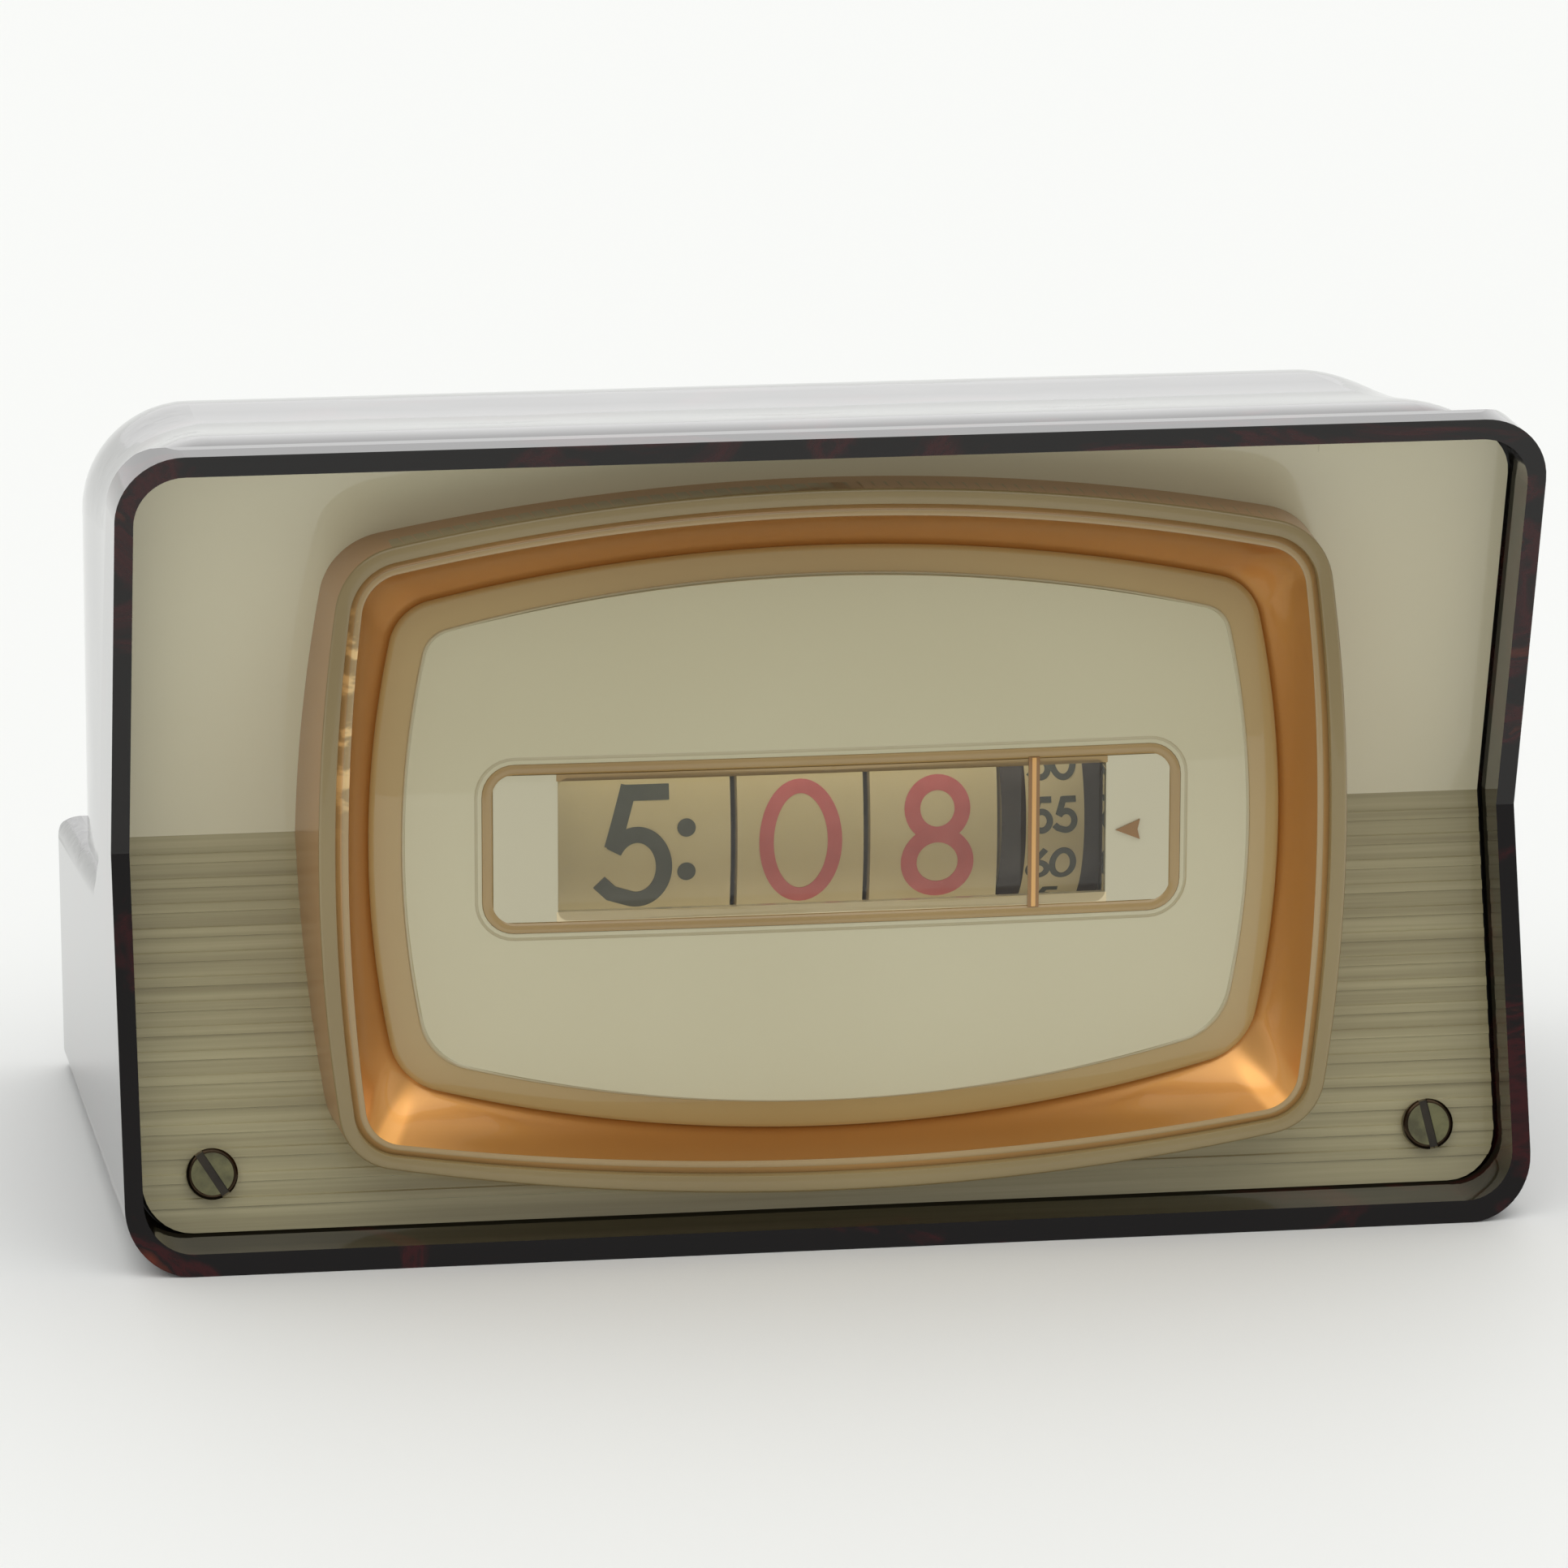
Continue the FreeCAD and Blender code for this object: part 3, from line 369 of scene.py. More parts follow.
def clear_pane():
    """Thin clear plastic with a mirror-like surface."""
    clear_tint, gloss_rough = (0.965, 0.955, 0.90, 1), 0.02
    mat = bpy.data.materials.new("clear_pane")
    mat.use_nodes = True
    nodes, links = mat.node_tree.nodes, mat.node_tree.links
    nodes.remove(nodes["Principled BSDF"])
    clear = nodes.new("ShaderNodeBsdfTransparent")
    clear.inputs["Color"].default_value = clear_tint
    gloss = nodes.new("ShaderNodeBsdfGlossy")
    gloss.inputs["Roughness"].default_value = gloss_rough
    fresnel = nodes.new("ShaderNodeFresnel")
    fresnel.inputs["IOR"].default_value = PLASTIC_IOR
    mix = nodes.new("ShaderNodeMixShader")
    links.new(fresnel.outputs["Fac"], mix.inputs["Fac"])
    links.new(clear.outputs["BSDF"], mix.inputs[1])
    links.new(gloss.outputs["BSDF"], mix.inputs[2])
    links.new(mix.outputs["Shader"], nodes["Material Output"].inputs["Surface"])
    return mat


CASE = tortoise()
# Both halves of the panel carry one cream paint. The lower half's darker tones are painted shade, and its
# streaking is painted reflections of its ribs.
PANEL_TOP = lens_paint("panel_paint", (215, 210, 178), (209, 202, 169), glow=0.12)
PANEL_LOW_SHADED = lens_paint("ribbed_paint_shaded", (186, 178, 138), (154, 145, 108), painted_rib_reflections=True, glow=0.07)
WALL = lens_paint("dial_wall_tint", (158, 116, 72), (148, 108, 66), glow=0.13, coat=0.3)
RIDGE = lens_paint("dial_ridge_tint", (176, 150, 104), (160, 134, 90), glow=0.10, coat=0.8)
FLANGE = lens_paint("dial_flange_tint", (152, 134, 90), (136, 118, 78), glow=0.07, coat=0.6)
STEP_GOLD = lens_paint("gold_line", (194, 150, 92), (160, 126, 78), glow=0.10, rough=0.3, metal=0.2)
COPPER = lens_paint("copper_cove", (210, 153, 86), (206, 149, 82), rough=0.3, metal=0.85, coat=0.5)
TAN = lens_paint("dial_band_tint", (188, 165, 111), (176, 150, 97), glow=0.08)
LINE = lens_paint("screen_line", (188, 179, 143), (178, 168, 132), glow=0.07)
SCREEN = lens_paint("screen_paint", (202, 196, 162), (196, 189, 154), glow=0.10)
ZONE = lens_paint("window_zone", (204, 198, 168), (198, 192, 161), glow=0.10)
WINDOW_EDGE = lens_paint("window_edge_tint", (178, 150, 96), (156, 128, 78), glow=0.07)
SILL = lens_paint("window_sill_tint", (220, 204, 162), (212, 195, 152), glow=0.16)
BAR = lens_paint("window_bar_tint", (158, 118, 66), (136, 98, 52), glow=0.05, rough=0.3, metal=0.4)
# Painted highlight for the middle of the window bar.
BAR_PAINTED_HIGHLIGHT = lens_paint("window_bar_painted_highlight", (226, 176, 100), (196, 146, 78), glow=0.2, rough=0.3)
DRUM = speckled("drum_face", (224, 209, 166), (218, 202, 157), 60, 0.55)
DARK_INK = speckled("dark_ink", (72, 76, 66), (80, 83, 72), 300, 0.5)
RED_INK = speckled("red_ink", (218, 112, 114), (208, 102, 104), 300, 0.5)
BLACK_RING = speckled("black_ring", (46, 34, 25), (54, 41, 31), 300, 0.5)
SCREW_FACE = speckled("screw_face", (138, 136, 98), (100, 98, 74), 300, 0.4, 0.4, bump=0.2)
SCREW_RIM = speckled("screw_rim", (70, 56, 40), (52, 42, 30), 400, 0.18, 0.9)
# Painted shade for the bottoms of the screw slots.
SCREW_SLOT_SHADE = speckled("screw_slot_painted_shade", (54, 46, 32), (44, 38, 28), 400, 0.5)
foot_glow(SCREEN, top_glow=0.085, low_glow=0.125)
painted_corner_highlight(COPPER, low=0.02, broad=0.34, narrow=0.7)
painted_side_glints(STEP_GOLD, low=0.10, high=0.55)
painted_side_glints(RIDGE, low=0.10, high=0.9)

SLOT_MATERIALS = {
    "case": CASE,
    "lens": PANEL_TOP,
    "lens_screws": speckled(
        "tarnished_brass", (150, 138, 104), (104, 92, 68), 500, 0.32, 0.8, bump=0.3
    ),
    "cover": speckled("fibre_cover", (44, 30, 24), (58, 40, 30), 240, 0.6, bump=0.2),
    "steel": speckled("bright_steel", (176, 176, 172), (150, 150, 146), 300, 0.3, 1.0),
    "zinc": speckled("plated_sheet", (168, 166, 150), (150, 146, 128), 120, 0.38, 0.9),
    "brass": speckled("brass", (196, 160, 88), (176, 140, 72), 300, 0.3, 1.0),
    "drum": DRUM,
    "gear": speckled("gear_plastic", (224, 218, 202), (214, 206, 188), 200, 0.45),
    "black": speckled("black_plastic", (26, 26, 26), (36, 35, 34), 400, 0.4, bump=0.1),
    "core": speckled("laminations", (70, 72, 74), (50, 51, 53), 90, 0.45, 0.8, stretch=(26, 1, 1)),
    "coil": speckled("coil_tape", (150, 110, 58), (128, 90, 44), 260, 0.5, bump=0.3),
    "pane": clear_pane(),
}
for part in frame["record"]["subparts"]:
    node = frame["nodes"][part["node"]]
    for slot in node.material_slots:
        slot.material = SLOT_MATERIALS[part["material_slot"]]


# ---------------------------------------------------------------- mesh helpers
WELD = 1e-7  # metres
ON_PLANE = 1e-6  # tolerance of a cut
BLOCK_SIDES = [(j, j + 4, (j + 1) % 4 + 4, (j + 1) % 4) for j in range(4)]
BLOCK_FACES = [(0, 1, 2, 3), (7, 6, 5, 4)] + BLOCK_SIDES  # four points and the four behind them


def piece(name, mesh, mat, body):
    """Puts a mesh in the scene as a piece that moves with a body."""
    mesh.materials.append(mat)
    obj = bpy.data.objects.new(name, mesh)
    bpy.context.collection.objects.link(obj)
    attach(obj, body)
    return obj


def add(name, verts, faces, mat, body="case", smooth=True, angle=40.0):
    """A piece from points and faces; edges bent by more than the angle stay sharp."""
    mesh = bpy.data.meshes.new(name)
    mesh.from_pydata(verts, [], faces)
    work = bmesh.new()
    work.from_mesh(mesh)
    bmesh.ops.remove_doubles(work, verts=work.verts, dist=WELD)
    bmesh.ops.recalc_face_normals(work, faces=work.faces)
    work.to_mesh(mesh)
    work.free()
    if smooth:
        mesh.shade_smooth()
        mesh.set_sharp_from_angle(angle=math.radians(angle))
    piece(name, mesh, mat, body)


def join(verts, faces, more_verts, more_faces):
    """Adds points, and faces that number them from 0, to the ends of the lists."""
    start = len(verts)
    faces.extend(tuple(i + start for i in face) for face in more_faces)
    verts.extend(more_verts)


def tube_faces(rows, columns):
    """Faces of a closed grid of rows by columns, both ways round."""
    faces = []
    for i in range(rows):
        for j in range(columns):
            k, m = (i + 1) % rows, (j + 1) % columns
            faces.append((i * columns + j, k * columns + j, k * columns + m, i * columns + m))
    return faces


def circles_meet(xa, za, ra, xb, zb, rb, up_sign):
    """Where two circles cross, right of the middle: the upper crossing for 1, the lower for -1."""
    dx, dz = xb - xa, zb - za
    gap = math.hypot(dx, dz)
    along = (ra * ra - rb * rb + gap * gap) / (2 * gap)
    off = math.sqrt(ra * ra - along * along)
    found = [
        (xa + (along * dx - s * off * dz) / gap, za + (along * dz + s * off * dx) / gap) for s in (-1, 1)
    ]
    return max((f for f in found if f[0] > 0), key=lambda f: f[1] * up_sign)


def outline_at(inset):
    """Row of OUTLINES at any inset, without it; the large radii change by their curvature."""
    k = 0
    while k < len(OUTLINES) - 2 and inset > OUTLINES[k + 1][0]:
        k += 1
    first, last = OUTLINES[k], OUTLINES[k + 1]
    t = (inset - first[0]) / (last[0] - first[0])
    row = []
    for i in range(1, len(first)):
        if i in LARGE_RADII:
            row.append(1 / (1 / first[i] + (1 / last[i] - 1 / first[i]) * min(1, max(0, t))))
        else:
            row.append(first[i] + (last[i] - first[i]) * t)
    return row


ARC_STEPS, CORNER_STEPS, SIDE_STEPS = 34, 14, 30


def barrel(inset, flare=0.0):
    """Points (x, z) round the dial frame at an inset, from the lowest point on; flare widens it."""
    half_width, high, high_r, low, low_r, side_r, top_corner, low_corner = outline_at(inset)
    side_x = half_width + flare - side_r
    half = []

    def sweep(cx, cz, radius, a0, a1, steps):
        for i in range(steps):
            a = a0 + (a1 - a0) * i / steps
            half.append((cx + radius * math.cos(a), cz + radius * math.sin(a)))

    ends = []
    for sign, edge, big_r, r in ((-1, low, low_r, low_corner), (1, high, high_r, top_corner)):
        cz = edge - sign * big_r
        kx, kz = circles_meet(side_x, BARREL_MID, side_r - r, 0, cz, big_r - r, sign)
        a = math.atan2(kz - BARREL_MID, kx - side_x)
        b = math.atan2(kz - cz, kx)
        ends.append((kx, kz, a, b, cz, big_r, r))
    (lx, lz, la, lb, lc, lr, l_round), (tx, tz, ta, tb, tc, tr, t_round) = ends
    sweep(0, lc, lr, -math.pi / 2, lb, ARC_STEPS)
    sweep(lx, lz, l_round, lb, la, CORNER_STEPS)
    sweep(side_x, BARREL_MID, side_r, la, ta, SIDE_STEPS)
    sweep(tx, tz, t_round, ta, tb, CORNER_STEPS)
    sweep(0, tc, tr, tb, math.pi / 2, ARC_STEPS)
    half.append((0.0, high))
    return half + [(-x, z) for x, z in reversed(half[1:-1])]


def rounded(x0, x1, z0, z1, r, steps=8, along=10):
    """Points (x, z) round a rounded rectangle, anticlockwise from the low left corner's end."""
    points = []
    corners = [
        (x1 - r, z0 + r, -90),
        (x1 - r, z1 - r, 0),
        (x0 + r, z1 - r, 90),
        (x0 + r, z0 + r, 180),
    ]
    for index, (cx, cz, start) in enumerate(corners):
        for i in range(steps + 1):
            a = math.radians(start + 90 * i / steps)
            points.append((cx + r * math.cos(a), cz + r * math.sin(a)))
        nx, nz, nstart = corners[(index + 1) % 4]
        a = math.radians(nstart)
        end = (nx + r * math.cos(a), nz + r * math.sin(a))
        begin = points[-1]
        for i in range(1, along):
            t = i / along
            points.append((begin[0] + (end[0] - begin[0]) * t, begin[1] + (end[1] - begin[1]) * t))
    return points


def ring(name, profile, mat, outline=barrel):
    """Closed section of (inset, depth) swept round an outline. A depth may be a function of (x, z)."""
    verts = []
    for inset, depth in profile:
        for x, z in outline(inset):
            verts.append(at(x, depth(x, z) if callable(depth) else depth, z))
    columns = len(verts) // len(profile)
    add(name, verts, tube_faces(len(profile), columns), mat)


def dome(x, z):
    """Depth of the domed screen."""
    return SCREEN_DEPTH - SCREEN_BULGE + (x * x + (z - BARREL_MID) ** 2) / (2 * SCREEN_RADIUS)


def ray_to(outline, cx, cz, angle):
    """Where a ray from (cx, cz) last crosses a closed outline."""
    parallel, slack = 1e-12, 1e-9
    dx, dz = math.cos(angle), math.sin(angle)
    best = None
    count = len(outline)
    for i in range(count):
        ax, az = outline[i]
        bx, bz = outline[(i + 1) % count]
        ex, ez = bx - ax, bz - az
        det = dx * ez - dz * ex
        if abs(det) < parallel:
            continue
        t = ((ax - cx) * ez - (az - cz) * ex) / det
        s = ((ax - cx) * dz - (az - cz) * dx) / det
        if t > 0 and -slack <= s <= 1 + slack and (best is None or t > best):
            best = t
    return (cx + dx * best, cz + dz * best)


def matched(outer, inner, cx, cz):
    """Both outlines at the same angles round a centre, with the corner points of both."""
    digits = 5  # angles that agree to this many digits count as one
    angles = sorted({round(math.atan2(z - cz, x - cx), digits) for x, z in outer + inner})
    return (
        [ray_to(outer, cx, cz, a) for a in angles],
        [ray_to(inner, cx, cz, a) for a in angles],
    )


# ---------------------------------------------------------------- lens panel
RIB_PITCH, RIB_WIDTH, RIB_HEIGHT = 3.3, 1.4, 0.28
RIB_FLANK, RIB_MARGIN = 0.12, 0.04  # height of a rib's slope, and how far in the rib counts as raised
FIRST_RIB, RIB_FREE = FOLD_Z - 2.4, 2.0  # top of the first rib, free height under the last one
PANEL_HALF = lens_high.x / MM
PANEL_LOW_Z, PANEL_TOP_Z = lens_low.z / MM, lens_high.z / MM
PANEL_CORNER, HOLE_INSET = 7.0, 0.15
TAB_X0, TAB_X1, TAB_Z0, TAB_Z1 = 69.3, 82.9, 110.0, 111.4
TAB_LIFT, TAB_ROOT = 0.12, 0.5


def rib_edges():
    """Top and low edge of each rib, from the fold down."""
    edges = []
    z = FIRST_RIB
    while z - RIB_WIDTH > PANEL_LOW_Z + RIB_FREE:
        edges.append((z, z - RIB_WIDTH))
        z -= RIB_PITCH
    return edges


def panel_depth(z):
    """Depth of the panel's front face, ribs and all."""
    lift = 0.0
    for top, low in rib_edges():
        if low + RIB_MARGIN <= z <= top - RIB_MARGIN:
            lift = RIB_HEIGHT
    return lens_depth(z) - lift


def lens_panel(name, upper, mat):
    """One half of the folded panel, with the dial frame's hole."""
    outer = rounded(-PANEL_HALF, PANEL_HALF, PANEL_LOW_Z, PANEL_TOP_Z, PANEL_CORNER)
    wide, narrow = matched(outer, barrel(HOLE_INSET), 0, BARREL_MID)
    work = bmesh.new()
    pairs = []
    for (ox, oz), (x, z) in zip(wide, narrow):
        pairs.append((work.verts.new((x, 0, z)), work.verts.new((ox, 0, oz))))
    for i, (a, b) in enumerate(pairs):
        c, d = pairs[(i + 1) % len(pairs)]
        work.faces.new((a, b, d, c))
    cuts = [FOLD_Z]
    for top, low in rib_edges():
        cuts += [top, top - RIB_FLANK, low + RIB_FLANK, low]
    for z in cuts:
        bmesh.ops.bisect_plane(
            work,
            geom=work.verts[:] + work.edges[:] + work.faces[:],
            plane_co=(0, 0, z),
            plane_no=(0, 0, 1),
            dist=ON_PLANE,
        )
    unwanted = [f for f in work.faces if (f.calc_center_median().z > FOLD_Z) != upper]
    bmesh.ops.delete(work, geom=unwanted, context="FACES")
    result = bmesh.ops.extrude_face_region(work, geom=list(work.faces), use_keep_orig=True)
    backs = {v for v in result["geom"] if isinstance(v, bmesh.types.BMVert)}
    for v in work.verts:
        x, _, z = v.co
        v.co = at(x, lens_depth(z) + LENS_THICK if v in backs else panel_depth(z), z)
    bmesh.ops.recalc_face_normals(work, faces=work.faces)
    mesh = bpy.data.meshes.new(name)
    work.to_mesh(mesh)
    work.free()
    return piece(name, mesh, mat, "case")


upper_panel = lens_panel("lens_panel_upper", True, PANEL_TOP)
lens_panel("lens_panel_lower", False, PANEL_LOW_SHADED)
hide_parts("front_lens")


def panel_tab():
    """Faint raised tab under the top rim."""
    outline = [(TAB_X0, TAB_Z0), (TAB_X1, TAB_Z0), (TAB_X1, TAB_Z1), (TAB_X0, TAB_Z1)]
    verts = [at(x, lens_depth(z) - TAB_LIFT, z) for x, z in outline]
    verts += [at(x, lens_depth(z) + TAB_ROOT, z) for x, z in outline]
    add("panel_tab", verts, BLOCK_FACES, PANEL_TOP, smooth=False)


panel_tab()


# ---------------------------------------------------------------- dial frame
WALL_FLARE = 0.9  # the outer wall is wider at its foot, for draft
WALL_SHORT = 0.1  # the wall ends this far before the lens panel's back


def wall_foot(x, z):
    """Depth of the wall's foot."""
    return lens_depth(z) + LENS_THICK - WALL_SHORT


def wall_outline(inset):
    """The dial frame's outline; a negative inset stands for the wall's wider foot."""
    return barrel(max(0.0, inset), WALL_FLARE if inset < 0 else 0.0)


ring(
    "dial_wall",
    [(0.0, 3.05), (-WALL_FLARE, wall_foot), (1.6, wall_foot), (1.6, 6.5), (0.3, 4.2)],
    WALL,
    outline=wall_outline,
)
ring(
    "dial_flange",
    [
        (0.0, 3.1),
        (0.1, 2.8),
        (0.35, 2.62),
        (0.6, FLANGE_DEPTH),
        (2.0, FLANGE_DEPTH),
        (2.25, 2.72),
        (2.35, 3.0),
        (2.5, 6.8),
        (2.5, 7.8),
        (0.0, 7.8),
    ],
    FLANGE,
)
ring(
    "dial_gold_line",
    [(2.3, 4.0), (2.5, 3.85), (3.05, 3.5), (3.3, 3.4), (3.3, 8.0), (2.3, 8.0)],
    STEP_GOLD,
)
ring(
    "dial_step",
    [(3.2, 3.7), (3.26, 3.36), (3.45, 3.24), (3.95, 3.2), (4.18, 3.32), (4.25, 6.0), (3.2, 6.0)],
    RIDGE,
)


def cove_profile():
    """Hollow section from the step down to the band."""
    top_inset, top_depth, run, steps = 4.2, 3.3, 3.85, 14
    bow, sag = 0.45, 0.4  # how hollow it is, and how much of that deepens it
    points = []
    for i in range(steps + 1):
        t = i / steps
        hollow = bow * math.sin(math.pi * t)
        depth = top_depth + (COVE_DEPTH - top_depth) * t + hollow * sag
        points.append((top_inset + run * t - hollow, depth))
    return points + [(8.3, COVE_DEPTH + 0.1), (8.3, DIAL_BACK), (top_inset, DIAL_BACK)]


ring("dial_cove", cove_profile(), COPPER)
ring(
    "dial_band",
    [
        (7.95, COVE_DEPTH + 0.1),
        (8.0, COVE_DEPTH - 0.4),
        (8.25, COVE_DEPTH - 0.75),
        (8.8, COVE_DEPTH - 0.95),
        (10.6, SCREEN_DEPTH + 0.45),
        (12.55, SCREEN_DEPTH + 0.05),
        (12.6, SCREEN_DEPTH + 0.3),
        (12.6, DIAL_BACK),
        (8.0, DIAL_BACK),
    ],
    TAN,
)
ring(
    "dial_screen_line",
    [
        (12.5, SCREEN_DEPTH),
        (12.65, SCREEN_DEPTH - 0.18),
        (12.9, SCREEN_DEPTH - 0.22),
        (13.1, SCREEN_DEPTH - 0.05),
        (13.1, 12.2),
        (12.5, 12.2),
    ],
    LINE,
)


# ---------------------------------------------------------------- screw heads
SCREW_X, SCREW_Z = 87.0, 11.1
SCREW_TURNS = {"left": -31.6, "right": -11.5}  # degrees from upright, of the slot
HEAD_R, HEAD_T, HEAD_FACE_R, HEAD_STEPS = 3.6, 1.5, 3.0, 24
SLOT_HALF, SLOT_REACH, SLOT_TOP, SLOT_BOTTOM = 0.6, 3.35, 0.06, -0.2
RIM_PROFILE = [  # (radius, lift)
    (HEAD_R + 0.04, -0.5),
    (HEAD_R + 0.02, 0.0),
    (3.45, 0.2),
    (3.2, 0.3),
    (HEAD_FACE_R, 0.26),
    (HEAD_FACE_R, -0.2),
]
FACE_EDGE = 0.61  # just over half the slot's width
FACE_PROFILE = [
    (HEAD_FACE_R + 0.02, 0.22),
    (FACE_EDGE, 0.24),
    (FACE_EDGE, -0.1),
    (HEAD_FACE_R, -0.1),
]
slope = math.atan2(FOLD_DEPTH, FOLD_Z)
screw_across = Vector((1, 0, 0))
screw_out = Vector((0, -math.cos(slope), math.sin(slope)))
screw_up = Vector((0, math.sin(slope), math.cos(slope)))


def on_head(middle, turn, across, along, lift):
    """A point of a screw head: across its slot, along it, and out from its face."""
    x = across * math.cos(turn) + along * math.sin(turn)
    z = along * math.cos(turn) - across * math.sin(turn)
    return middle + (screw_across * x + screw_up * z + screw_out * lift) * MM


def head_half(name, middle, turn, sign, profile, mat):
    """Half of a slotted screw head, on one side of its slot: profile is (radius, lift)."""
    verts, faces = [], []
    for r, lift in profile:
        edge = math.asin(SLOT_HALF / r)
        for i in range(HEAD_STEPS + 1):
            a = edge + (math.pi - 2 * edge) * i / HEAD_STEPS
            verts.append(on_head(middle, turn, sign * r * math.sin(a), r * math.cos(a), lift))
    columns = HEAD_STEPS + 1
    rows = len(profile)
    for i in range(rows):
        for j in range(HEAD_STEPS):
            k = (i + 1) % rows
            faces.append((i * columns + j, k * columns + j, k * columns + j + 1, i * columns + j + 1))
    faces.append([i * columns for i in range(rows)])
    faces.append([i * columns + HEAD_STEPS for i in reversed(range(rows))])
    add(name, verts, faces, mat, angle=30.0)


def slot_floor(name, middle, turn):
    """Dark strip at the bottom of the slot: painted shade of the slot's recess."""
    half = SLOT_HALF + 0.02
    corners = [(-half, -SLOT_REACH), (half, -SLOT_REACH), (half, SLOT_REACH), (-half, SLOT_REACH)]
    verts = [
        on_head(middle, turn, across, along, lift)
        for lift in (SLOT_TOP, SLOT_BOTTOM)
        for across, along in corners
    ]
    add(name, verts, BLOCK_FACES, SCREW_SLOT_SHADE, smooth=False)


for side, label in ((-1, "left"), (1, "right")):
    foot = at(side * SCREW_X, lens_depth(SCREW_Z), SCREW_Z)
    middle = foot + screw_out * HEAD_T * MM
    turn = math.radians(SCREW_TURNS[label])
    slot_floor("screw_slot_" + label, middle, turn)
    for sign, half in ((-1, "a"), (1, "b")):
        end = label + "_" + half
        head_half("screw_rim_" + end, middle, turn, sign, RIM_PROFILE, SCREW_RIM)
        head_half("screw_face_" + end, middle, turn, sign, FACE_PROFILE, SCREW_FACE)


# ---------------------------------------------------------------- screen and window
WIN_X0, WIN_X1, WIN_Z0, WIN_Z1, WIN_R = -48.95, 50.1, 44.9, 69.2, 4.6
SCREEN_INSET, SCREEN_ROWS = 13.05, 14
ZONE_INSET, ZONE_LIFT, ZONE_THICK = 1.6, -0.05, 1.2
SILL_HEIGHT, LINTEL_HEIGHT = 1.25, 0.45  # how far they cover the opening
LIP_OVER, LIP_LIFT, LIP_THICK = 0.2, -0.03, 1.0
BAR_X, BAR_HALF, BAR_OVER, BAR_LIFT, BAR_THICK = 29.0, 0.8, 0.3, 0.15, 0.4
HIGHLIGHT_HALF, HIGHLIGHT_OVER, HIGHLIGHT_LIFT, HIGHLIGHT_THICK = 0.3, 0.2, 0.24, 0.3
THIN_R = 0.1  # corners of the thin plates
pane_low, pane_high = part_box("window_pane")
OPEN_X0, OPEN_X1 = pane_low.x / MM, pane_high.x / MM
OPEN_Z0, OPEN_Z1 = pane_low.z / MM, pane_high.z / MM


def window_ring(inset):
    """Points (x, z) round the window at an inset."""
    r = max(0.6, WIN_R - inset)
    return rounded(WIN_X0 + inset, WIN_X1 - inset, WIN_Z0 + inset, WIN_Z1 - inset, r)


def screen_shell(name, outer, inner, mat):
    """Thin domed shell between two outlines of the same number of points."""
    count = len(outer)
    grid = []
    for i in range(SCREEN_ROWS + 1):
        t = i / SCREEN_ROWS
        for (ox, oz), (nx, nz) in zip(outer, inner):
            grid.append((ox + (nx - ox) * t, oz + (nz - oz) * t))
    verts = [at(x, dome(x, z), z) for x, z in grid]
    verts += [at(x, dome(x, z) + SCREEN_THICK, z) for x, z in grid]
    total = len(grid)
    faces = []
    for i in range(SCREEN_ROWS):
        for j in range(count):
            k = (j + 1) % count
            a, b, c, d = i * count + j, i * count + k, (i + 1) * count + k, (i + 1) * count + j
            faces.append((a, b, c, d))
            faces.append((a + total, d + total, c + total, b + total))
    for base in (0, SCREEN_ROWS * count):
        for j in range(count):
            k = (j + 1) % count
            faces.append((base + j, base + k, base + k + total, base + j + total))
    add(name, verts, faces, mat)


mid_x, mid_z = (WIN_X0 + WIN_X1) / 2, (WIN_Z0 + WIN_Z1) / 2
screen_outer, screen_inner = matched(barrel(SCREEN_INSET), window_ring(0.0), mid_x, mid_z)
screen_shell("dial_screen", screen_outer, screen_inner, SCREEN)


def over(lift):
    """Depth function at a height over the domed screen."""
    return lambda x, z: dome(x, z) - lift


ring(
    "window_frame",
    [
        (0.0, over(-0.1)),
        (0.12, over(0.2)),
        (0.4, over(0.32)),
        (1.1, over(0.18)),
        (1.5, over(-0.1)),
        (1.75, over(-0.6)),
        (1.75, over(-1.3)),
        (0.0, over(-1.3)),
    ],
    WINDOW_EDGE,
    outline=window_ring,
)
ring(
    "window_halo",
    [(-1.0, over(0.02)), (-0.8, over(0.12)), (-0.55, over(0.02)), (-0.55, over(-0.5)), (-1.0, over(-0.5))],
    LINE,
    outline=window_ring,
)


def plate(name, x0, x1, z0, z1, lift, thick, mat, r=0.3):
    """Thin plate on the domed screen."""
    outline = rounded(x0, x1, z0, z1, r, steps=4, along=6)
    cx, cz = (x0 + x1) / 2, (z0 + z1) / 2
    count = len(outline)
    verts = [at(x, dome(x, z) - lift, z) for x, z in outline]
    verts += [at(x, dome(x, z) - lift + thick, z) for x, z in outline]
    verts += [at(cx, dome(cx, cz) - lift, cz), at(cx, dome(cx, cz) - lift + thick, cz)]
    faces = []
    for j in range(count):
        k = (j + 1) % count
        faces.append((2 * count, j, k))
        faces.append((2 * count + 1, count + k, count + j))
        faces.append((j, j + count, k + count, k))
    add(name, verts, faces, mat)


